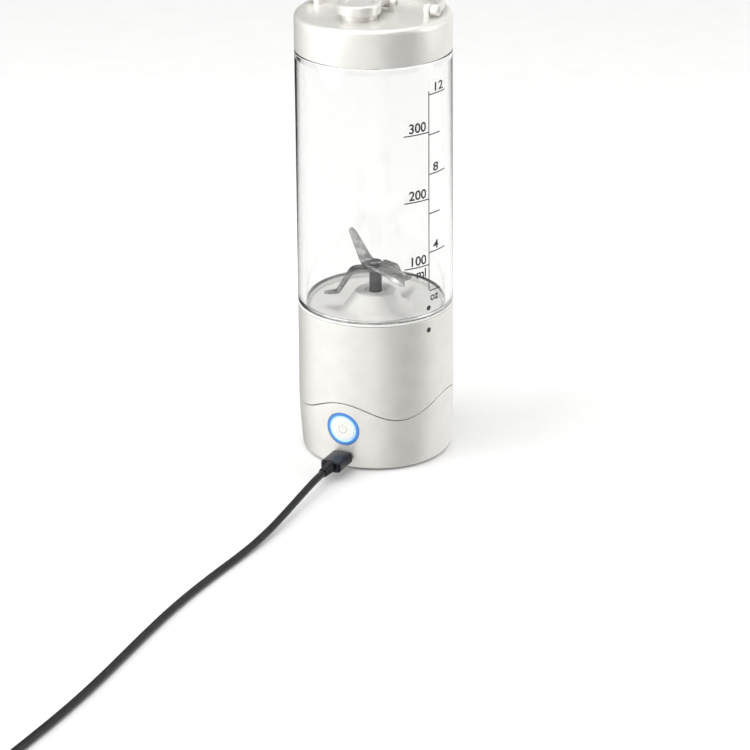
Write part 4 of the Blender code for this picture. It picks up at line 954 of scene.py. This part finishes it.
def finish_lid():
    lid = make_lid()
    flip = middle_of("flip_pin")
    flip_low, flip_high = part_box("flip_pin")
    loop_z = middle_of("loop_pin_left").z
    loop_ear_x = loop_radius() - LOOP_EAR_INSET
    for side in (-1, 1):
        boolean(lid, ear("flip_ear", side * FLIP_EAR_X, flip.y, flip.z, 0.0024), "UNION")
        boolean(lid, ear("loop_ear", side * loop_ear_x, 0.0, loop_z, 0.0028), "UNION")
    for side in (-1, 1):
        hole = across("flip_hole", FLIP_HOLE, 0.0022, flip.y, flip.z)
        boolean(lid, move(hole, Matrix.Translation((side * FLIP_EAR_X, 0, 0))))
    for side in (-1, 1):
        hole = across("loop_hole", LOOP_HOLE, 0.0022, 0.0, loop_z)
        boolean(lid, move(hole, Matrix.Translation((side * loop_ear_x, 0, 0))))
    smooth_shade(lid)
    finish_piece(lid, PEARL, "lid", ["lid"])
    pin = across("cap_pin", 0.0010, (flip_high.x - flip_low.x) / 2, flip.y, flip.z)
    finish_piece(pin, STEEL, "lid", ["flip_pin"])
    for name, node in (("bail_pin_left", "loop_pin_left"), ("bail_pin_right", "loop_pin_right")):
        low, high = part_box(node)
        pin = across(name, 0.0012, (high.x - low.x) / 2, 0.0, loop_z)
        finish_piece(move(pin, Matrix.Translation(((high.x + low.x) / 2, 0, 0))), STEEL, "lid", [node])
    make_spout_cap(flip)
    make_bail(loop_z)


def loop_radius():
    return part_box("carry_loop")[1].x - LOOP_HALF_WIDTH


def make_spout_cap(flip):
    spout_y = middle_of("spout_stopper").y
    spout = Matrix.Translation((0, spout_y, 0))
    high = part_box("spout_cap")[1]
    rim_low, under = NOZZLE_TOP_Z - 0.0009, NOZZLE_TOP_Z + GAP
    well_z = high.z - 0.0004
    corners = [
        (0, under, 0),
        (0.0088, under, 0),
        (0.0088, rim_low, 0.0001),
        (0.0104, rim_low, 0.0003),
        (0.0104, high.z, 0.0014),
        (0.0070, high.z, 0.0010),
        (0.0060, well_z, 0.0010),
        (0, well_z, 0),
    ]
    cap = move(spin("flip_cap", outline(corners), 128), spout)
    arm_high = high.z - 0.0006
    size = (0.0150, flip.y - spout_y - 0.001, arm_high - under)
    place = (0, (flip.y + spout_y) / 2 + 0.0002, (arm_high + under) / 2)
    boolean(cap, rounded_box("arm", size, place, 0.0004, 3), "UNION")
    boolean(cap, across("barrel", 0.0024, 0.0080, flip.y, flip.z), "UNION")
    boolean(cap, move(disc("well", 0.0056, well_z, high.z + 0.01, 96, 0.0001), spout))
    boolean(cap, across("cap_hole", FLIP_HOLE, 0.012, flip.y, flip.z))
    smooth_shade(cap)
    finish_piece(cap, PEARL, "flip_cap", ["spout_cap"])
    low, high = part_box("spout_stopper")
    stopper = disc("cap_stopper", (high.x - low.x) / 2, low.z, high.z, 96, 0.0008, 0.0002)
    finish_piece(move(stopper, spout), SILICONE, "flip_cap", ["spout_stopper"])


def make_bail(loop_z):
    """The carry loop: a flat bar bent in a half circle, with an eye at each end."""
    steps, radius, half_width, half_height = 96, loop_radius(), LOOP_HALF_WIDTH, 0.0020
    shape = bmesh.new()
    rows = []
    for i in range(steps + 1):
        turn = math.pi * i / steps
        out = Vector((math.cos(turn), math.sin(turn), 0))
        row = []
        for x, z in oblong(24, 0.6):
            place = out * (radius + x * half_width) + Vector((0, 0, loop_z + z * half_height))
            row.append(shape.verts.new(place))
        rows.append(row)
    loft(shape, rows)
    bail = from_bmesh("carry_bail", shape)
    for side in (-1, 1):
        eye = move(across("eye", 0.0028, half_width, 0, loop_z), Matrix.Translation((side * radius, 0, 0)))
        boolean(bail, eye, "UNION")
    for side in (-1, 1):
        hole = move(across("eye_hole", LOOP_HOLE, 0.004, 0, loop_z), Matrix.Translation((side * radius, 0, 0)))
        boolean(bail, hole)
    smooth_shade(bail, 35)
    finish_piece(bail, PEARL, "loop", ["carry_loop"])


# ---- Seals, foot and screws -------------------------------------------------------------------------


def seal(name, node, material, body, edge, sides=192):
    """A ring of the CAD node's own size with rolled edges."""
    low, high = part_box(node)
    bore = min(math.hypot(v.co.x, v.co.y) for v in NODES[node].data.vertices)
    corners = [(bore, low.z, edge), (high.x, low.z, edge), (high.x, high.z, edge), (bore, high.z, edge)]
    finish_piece(spin(name, outline(corners), sides), material, body, [node])


def make_bottom():
    seal("base_foot", "foot_ring", RUBBER, "base", 0.0005)
    seal("vessel_seal_ring", "vessel_gasket", SILICONE, "vessel_seal", 0.0005)
    seal("lid_seal_ring", "lid_gasket", SILICONE, "lid_seal", 0.0004)
    seal("seal_retainer", "gasket_retainer", PEARL_INNER_BRIGHTENED, "lid", 0.0003)
    seal("bush_lower", "lower_bearing", BRONZE, "base", 0.0003, 96)
    seal("bush_upper", "upper_bearing", BRONZE, "base", 0.0003, 96)
    seal("lip_seal", "shaft_seal", PEARL_INNER_BRIGHTENED, "base", 0.0004, 96)


# ---- Plugs --------------------------------------------------------------------------------------------

SHELL_SHEET = 0.0004
RELIEF_THICK, RELIEF_THIN = 0.0029, 0.00225
RIB_COUNT = 5
RIB_DEPTH = 0.00035


def relief(name, node, thick_end, direction):
    """A ribbed, tapering sleeve from a plug to the lead."""
    low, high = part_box(node)
    length = abs((high - low).dot(Vector(direction)))
    bore = CORD_RADIUS + 0.00005
    corners = [(bore, 0, 0), (RELIEF_THICK, 0, 0.0002)]
    for i in range(RIB_COUNT):
        z = length * (0.14 + 0.80 * i / RIB_COUNT)
        r = RELIEF_THICK + (RELIEF_THIN - RELIEF_THICK) * z / length
        corners += [(r, z, 0.0001), (r - RIB_DEPTH, z + 0.0002, 0.0001)]
        corners += [(r - RIB_DEPTH, z + 0.0006, 0.0001), (r, z + 0.0008, 0.0001)]
    corners += [(RELIEF_THIN, length, 0.0003), (bore, length, 0)]
    sleeve = spin(name, outline(corners, 3), 64)
    turn = Vector(direction).to_track_quat("Z", "Y").to_matrix().to_4x4()
    move(sleeve, Matrix.Translation(thick_end) @ turn)
    finish_piece(sleeve, MOULDED, "lead", [node])
    return sleeve


def signed_power(share, power):
    return math.copysign(abs(share) ** power, share)


def oblong(count, power):
    """Points round a square with rounded sides, within 1 of its middle. A lower power is squarer."""
    turn = [2 * math.pi * k / count for k in range(count)]
    return [(signed_power(math.cos(a), power), signed_power(math.sin(a), power)) for a in turn]


def soft_box(name, half, height, length, power):
    """A moulded plug body along +Y: a rounded oblong that swells from its ends."""
    shape = bmesh.new()
    loops = []
    rows = 28
    for i in range(rows + 1):
        s = i / rows
        end = min(s, 1 - s) * length
        grow = 1 - (1 - min(1.0, end / 0.0011)) ** 2 * 0.16
        points = oblong(64, power)
        loops.append([shape.verts.new((x * half * grow, length * s, z * height * grow)) for x, z in points])
    loft(shape, loops)
    return smooth_shade(from_bmesh(name, shape), 40)


def make_plugs():
    half, height = (PLUG_HIGH.x - PLUG_LOW.x) / 2, (PLUG_HIGH.z - PLUG_LOW.z) / 2
    near_body = soft_box("usb_c_moulding", half, height, PLUG_HIGH.y - PLUG_LOW.y, 0.42)
    move(near_body, Matrix.Translation((0, PLUG_HIGH.y, PORT_Z)) @ Matrix.Rotation(math.pi, 4, "Z"))
    finish_piece(near_body, MOULDED, "lead", ["usb_c_plug"])
    near = relief("usb_c_sleeve", "usb_c_relief", (0, PLUG_LOW.y - GAP, PORT_Z), (0, -1, 0))
    low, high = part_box("usb_a_plug")
    centre = (low + high) / 2
    body = soft_box("usb_a_moulding", (high.y - low.y) / 2, (high.z - low.z) / 2, high.x - low.x, 0.34)
    move(body, Matrix.Translation((low.x, centre.y, centre.z)) @ Matrix.Rotation(math.radians(-90), 4, "Z"))
    finish_piece(body, MOULDED, "lead", ["usb_a_plug"])
    far = relief("usb_a_sleeve", "usb_a_relief", (low.x - GAP, centre.y, centre.z), (-1, 0, 0))
    return [body, near, far, near_body]


def make_metal_shells():
    low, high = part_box("usb_c_shell")
    size = high - low
    tongue = rounded_box("usb_c_tongue", size, (low + high) / 2, 0.00115, 6)
    room = (size.x - 2 * SHELL_SHEET, size.y, size.z - 2 * SHELL_SHEET)
    place = (low + high) / 2 + Vector((0, 0.0015, 0))
    boolean(tongue, rounded_box("hollow", room, place, 0.0007, 5))
    finish_piece(smooth_shade(tongue), PLATED, "lead", ["usb_c_shell"])
    low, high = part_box("usb_a_shell")
    size = high - low
    shell = rounded_box("usb_a_metal", size, (low + high) / 2, 0.0003, 3)
    room = (size.x, size.y - 2 * SHELL_SHEET, size.z - 2 * SHELL_SHEET)
    place = (low + high) / 2 + Vector((0.001, 0, 0))
    boolean(shell, rounded_box("hollow", room, place, 0.0002, 2))
    for side in (-1, 1):
        place = (low.x + size.x * 0.55, (low.y + high.y) / 2 + side * 0.0028, high.z)
        boolean(shell, rounded_box("window", (0.0023, 0.0023, 0.003), place, 0.0002, 2))
    finish_piece(smooth_shade(shell), PLATED, "lead", ["usb_a_shell"])
    return [tongue, shell]


# ---- Inner parts that keep their CAD shape ------------------------------------------------------------

KEPT = {
    "bottom_plate": PEARL_INNER_BRIGHTENED,
    "bottom_screw_1": STEEL,
    "bottom_screw_2": STEEL,
    "bottom_screw_3": STEEL,
    "control_board": BOARD,
    "charging_board": BOARD,
    "button_switch": MOULDED,
    "charging_socket": PLATED,
    "battery_tray": CABLE,
    "battery_cell_1": WRAP,
    "battery_cell_2": WRAP,
    "inner_sleeve": CABLE,
    "motor_deck": CABLE,
    "motor_can": PLATED,
    "motor_end_cap": CABLE,
    "motor_magnet_left": FERRITE,
    "motor_magnet_right": FERRITE,
    "motor_screw_front": STEEL,
    "motor_screw_back": STEEL,
    "motor_rotor": WINDING,
    "drive_coupling": STEEL,
}


def paint_kept_nodes():
    for node, material in KEPT.items():
        NODES[node].data.materials.clear()
        NODES[node].data.materials.append(material)


# ---- Studio ---------------------------------------------------------------------------------------------

STUDIO_WALL = 0.95
DARK_CARD = 0.10
CARD_AZIMUTH = 72
CARD_COSINES = (0.70, 0.97)
BEHIND_AZIMUTH = -125
BEHIND_COSINES = (0.72, 0.97)


def make_floor():
    """A pale floor, left out of mirror-like reflections so that these show the studio's walls."""
    mesh = bpy.data.meshes.new("floor")
    shape = bmesh.new()
    bmesh.ops.create_grid(shape, x_segments=1, y_segments=1, size=6.0)
    shape.to_mesh(mesh)
    shape.free()
    floor = add_object("floor", mesh)
    material, tree, shader = blank("paper_floor")
    fac = noise(tree, coordinates(tree), 40)
    tree.links.new(ramp(tree, fac, (0.93, 0.93, 0.93), (0.95, 0.95, 0.95)), shader.inputs["Base Color"])
    shader.inputs["Roughness"].default_value = 0.9
    floor.data.materials.append(material)
    floor.location.z = -0.00002
    floor.visible_glossy = False


def softbox(name, azimuth, elevation, distance, size, power):
    """A rectangular light that faces the blender's middle."""
    data = bpy.data.lights.new(name, "AREA")
    data.shape = "RECTANGLE"
    data.size, data.size_y = size
    data.energy = power
    lamp = add_object(name, data)
    a, e = math.radians(azimuth), math.radians(elevation)
    out = Vector((math.sin(a) * math.cos(e), -math.cos(a) * math.cos(e), math.sin(e)))
    lamp.location = Vector((0, 0, 0.10)) + out * distance
    lamp.rotation_euler = out.to_track_quat("Z", "Y").to_euler()


def direction_share(tree, azimuth, start, end):
    """From 0 to 1 as a direction turns towards an azimuth, start and end being cosines between them."""
    where = tree.nodes.new("ShaderNodeTexCoord")
    level = tree.nodes.new("ShaderNodeVectorMath")
    level.operation = "MULTIPLY"
    level.inputs[1].default_value = (1, 1, 0)
    tree.links.new(where.outputs["Generated"], level.inputs[0])
    unit = tree.nodes.new("ShaderNodeVectorMath")
    unit.operation = "NORMALIZE"
    tree.links.new(level.outputs["Vector"], unit.inputs[0])
    along = tree.nodes.new("ShaderNodeVectorMath")
    along.operation = "DOT_PRODUCT"
    a = math.radians(azimuth)
    along.inputs[1].default_value = (math.sin(a), -math.cos(a), 0)
    tree.links.new(unit.outputs["Vector"], along.inputs[0])
    return remap(tree, along.outputs["Value"], 0.0, 1.0, start, end)


def make_world():
    """Pale studio walls with a dark card to the right of the camera and another behind on the left."""
    world = bpy.data.worlds.new("studio")
    bpy.context.scene.world = world
    world.use_nodes = True
    tree = world.node_tree
    back = tree.nodes["Background"]
    back.inputs["Color"].default_value = (1.0, 0.995, 0.985, 1)
    shade = tree.nodes.new("ShaderNodeMath")
    shade.operation = "MAXIMUM"
    tree.links.new(direction_share(tree, CARD_AZIMUTH, *CARD_COSINES), shade.inputs[0])
    tree.links.new(direction_share(tree, BEHIND_AZIMUTH, *BEHIND_COSINES), shade.inputs[1])
    level = remap(tree, shade.outputs["Value"], STUDIO_WALL, DARK_CARD, 0.0, 1.0)
    tree.links.new(level, back.inputs["Strength"])


def make_studio():
    """Three soft lights outside, and one inside the vessel under the lid that brightens the dish."""
    make_world()
    softbox("key", -42, 16, 1.3, (1.1, 1.2), 9.5)
    softbox("rim", 112, 18, 1.4, (0.7, 1.2), 5.0)
    softbox("top", 0, 88, 1.6, (1.6, 1.6), 13.0)
    softbox("inside", 0, 90, 0.098, (0.045, 0.045), 0.045)
    bpy.context.scene.view_settings.view_transform = "Standard"


def main():
    make_upper_shell()
    make_lower_shell()
    make_button()
    make_platform()
    make_blades()
    make_vessel()
    make_scale()
    dot("dot_base", SEAM_Z - 0.0053, "base", SEAM_RADIUS + 0.00005)
    dot("dot_vessel", SEAM_Z + 0.00615, "vessel", wall_radius(SEAM_Z + 0.006))
    finish_lid()
    make_bottom()
    pieces = make_plugs() + make_metal_shells()
    paint_kept_nodes()
    make_floor()
    make_studio()


main()
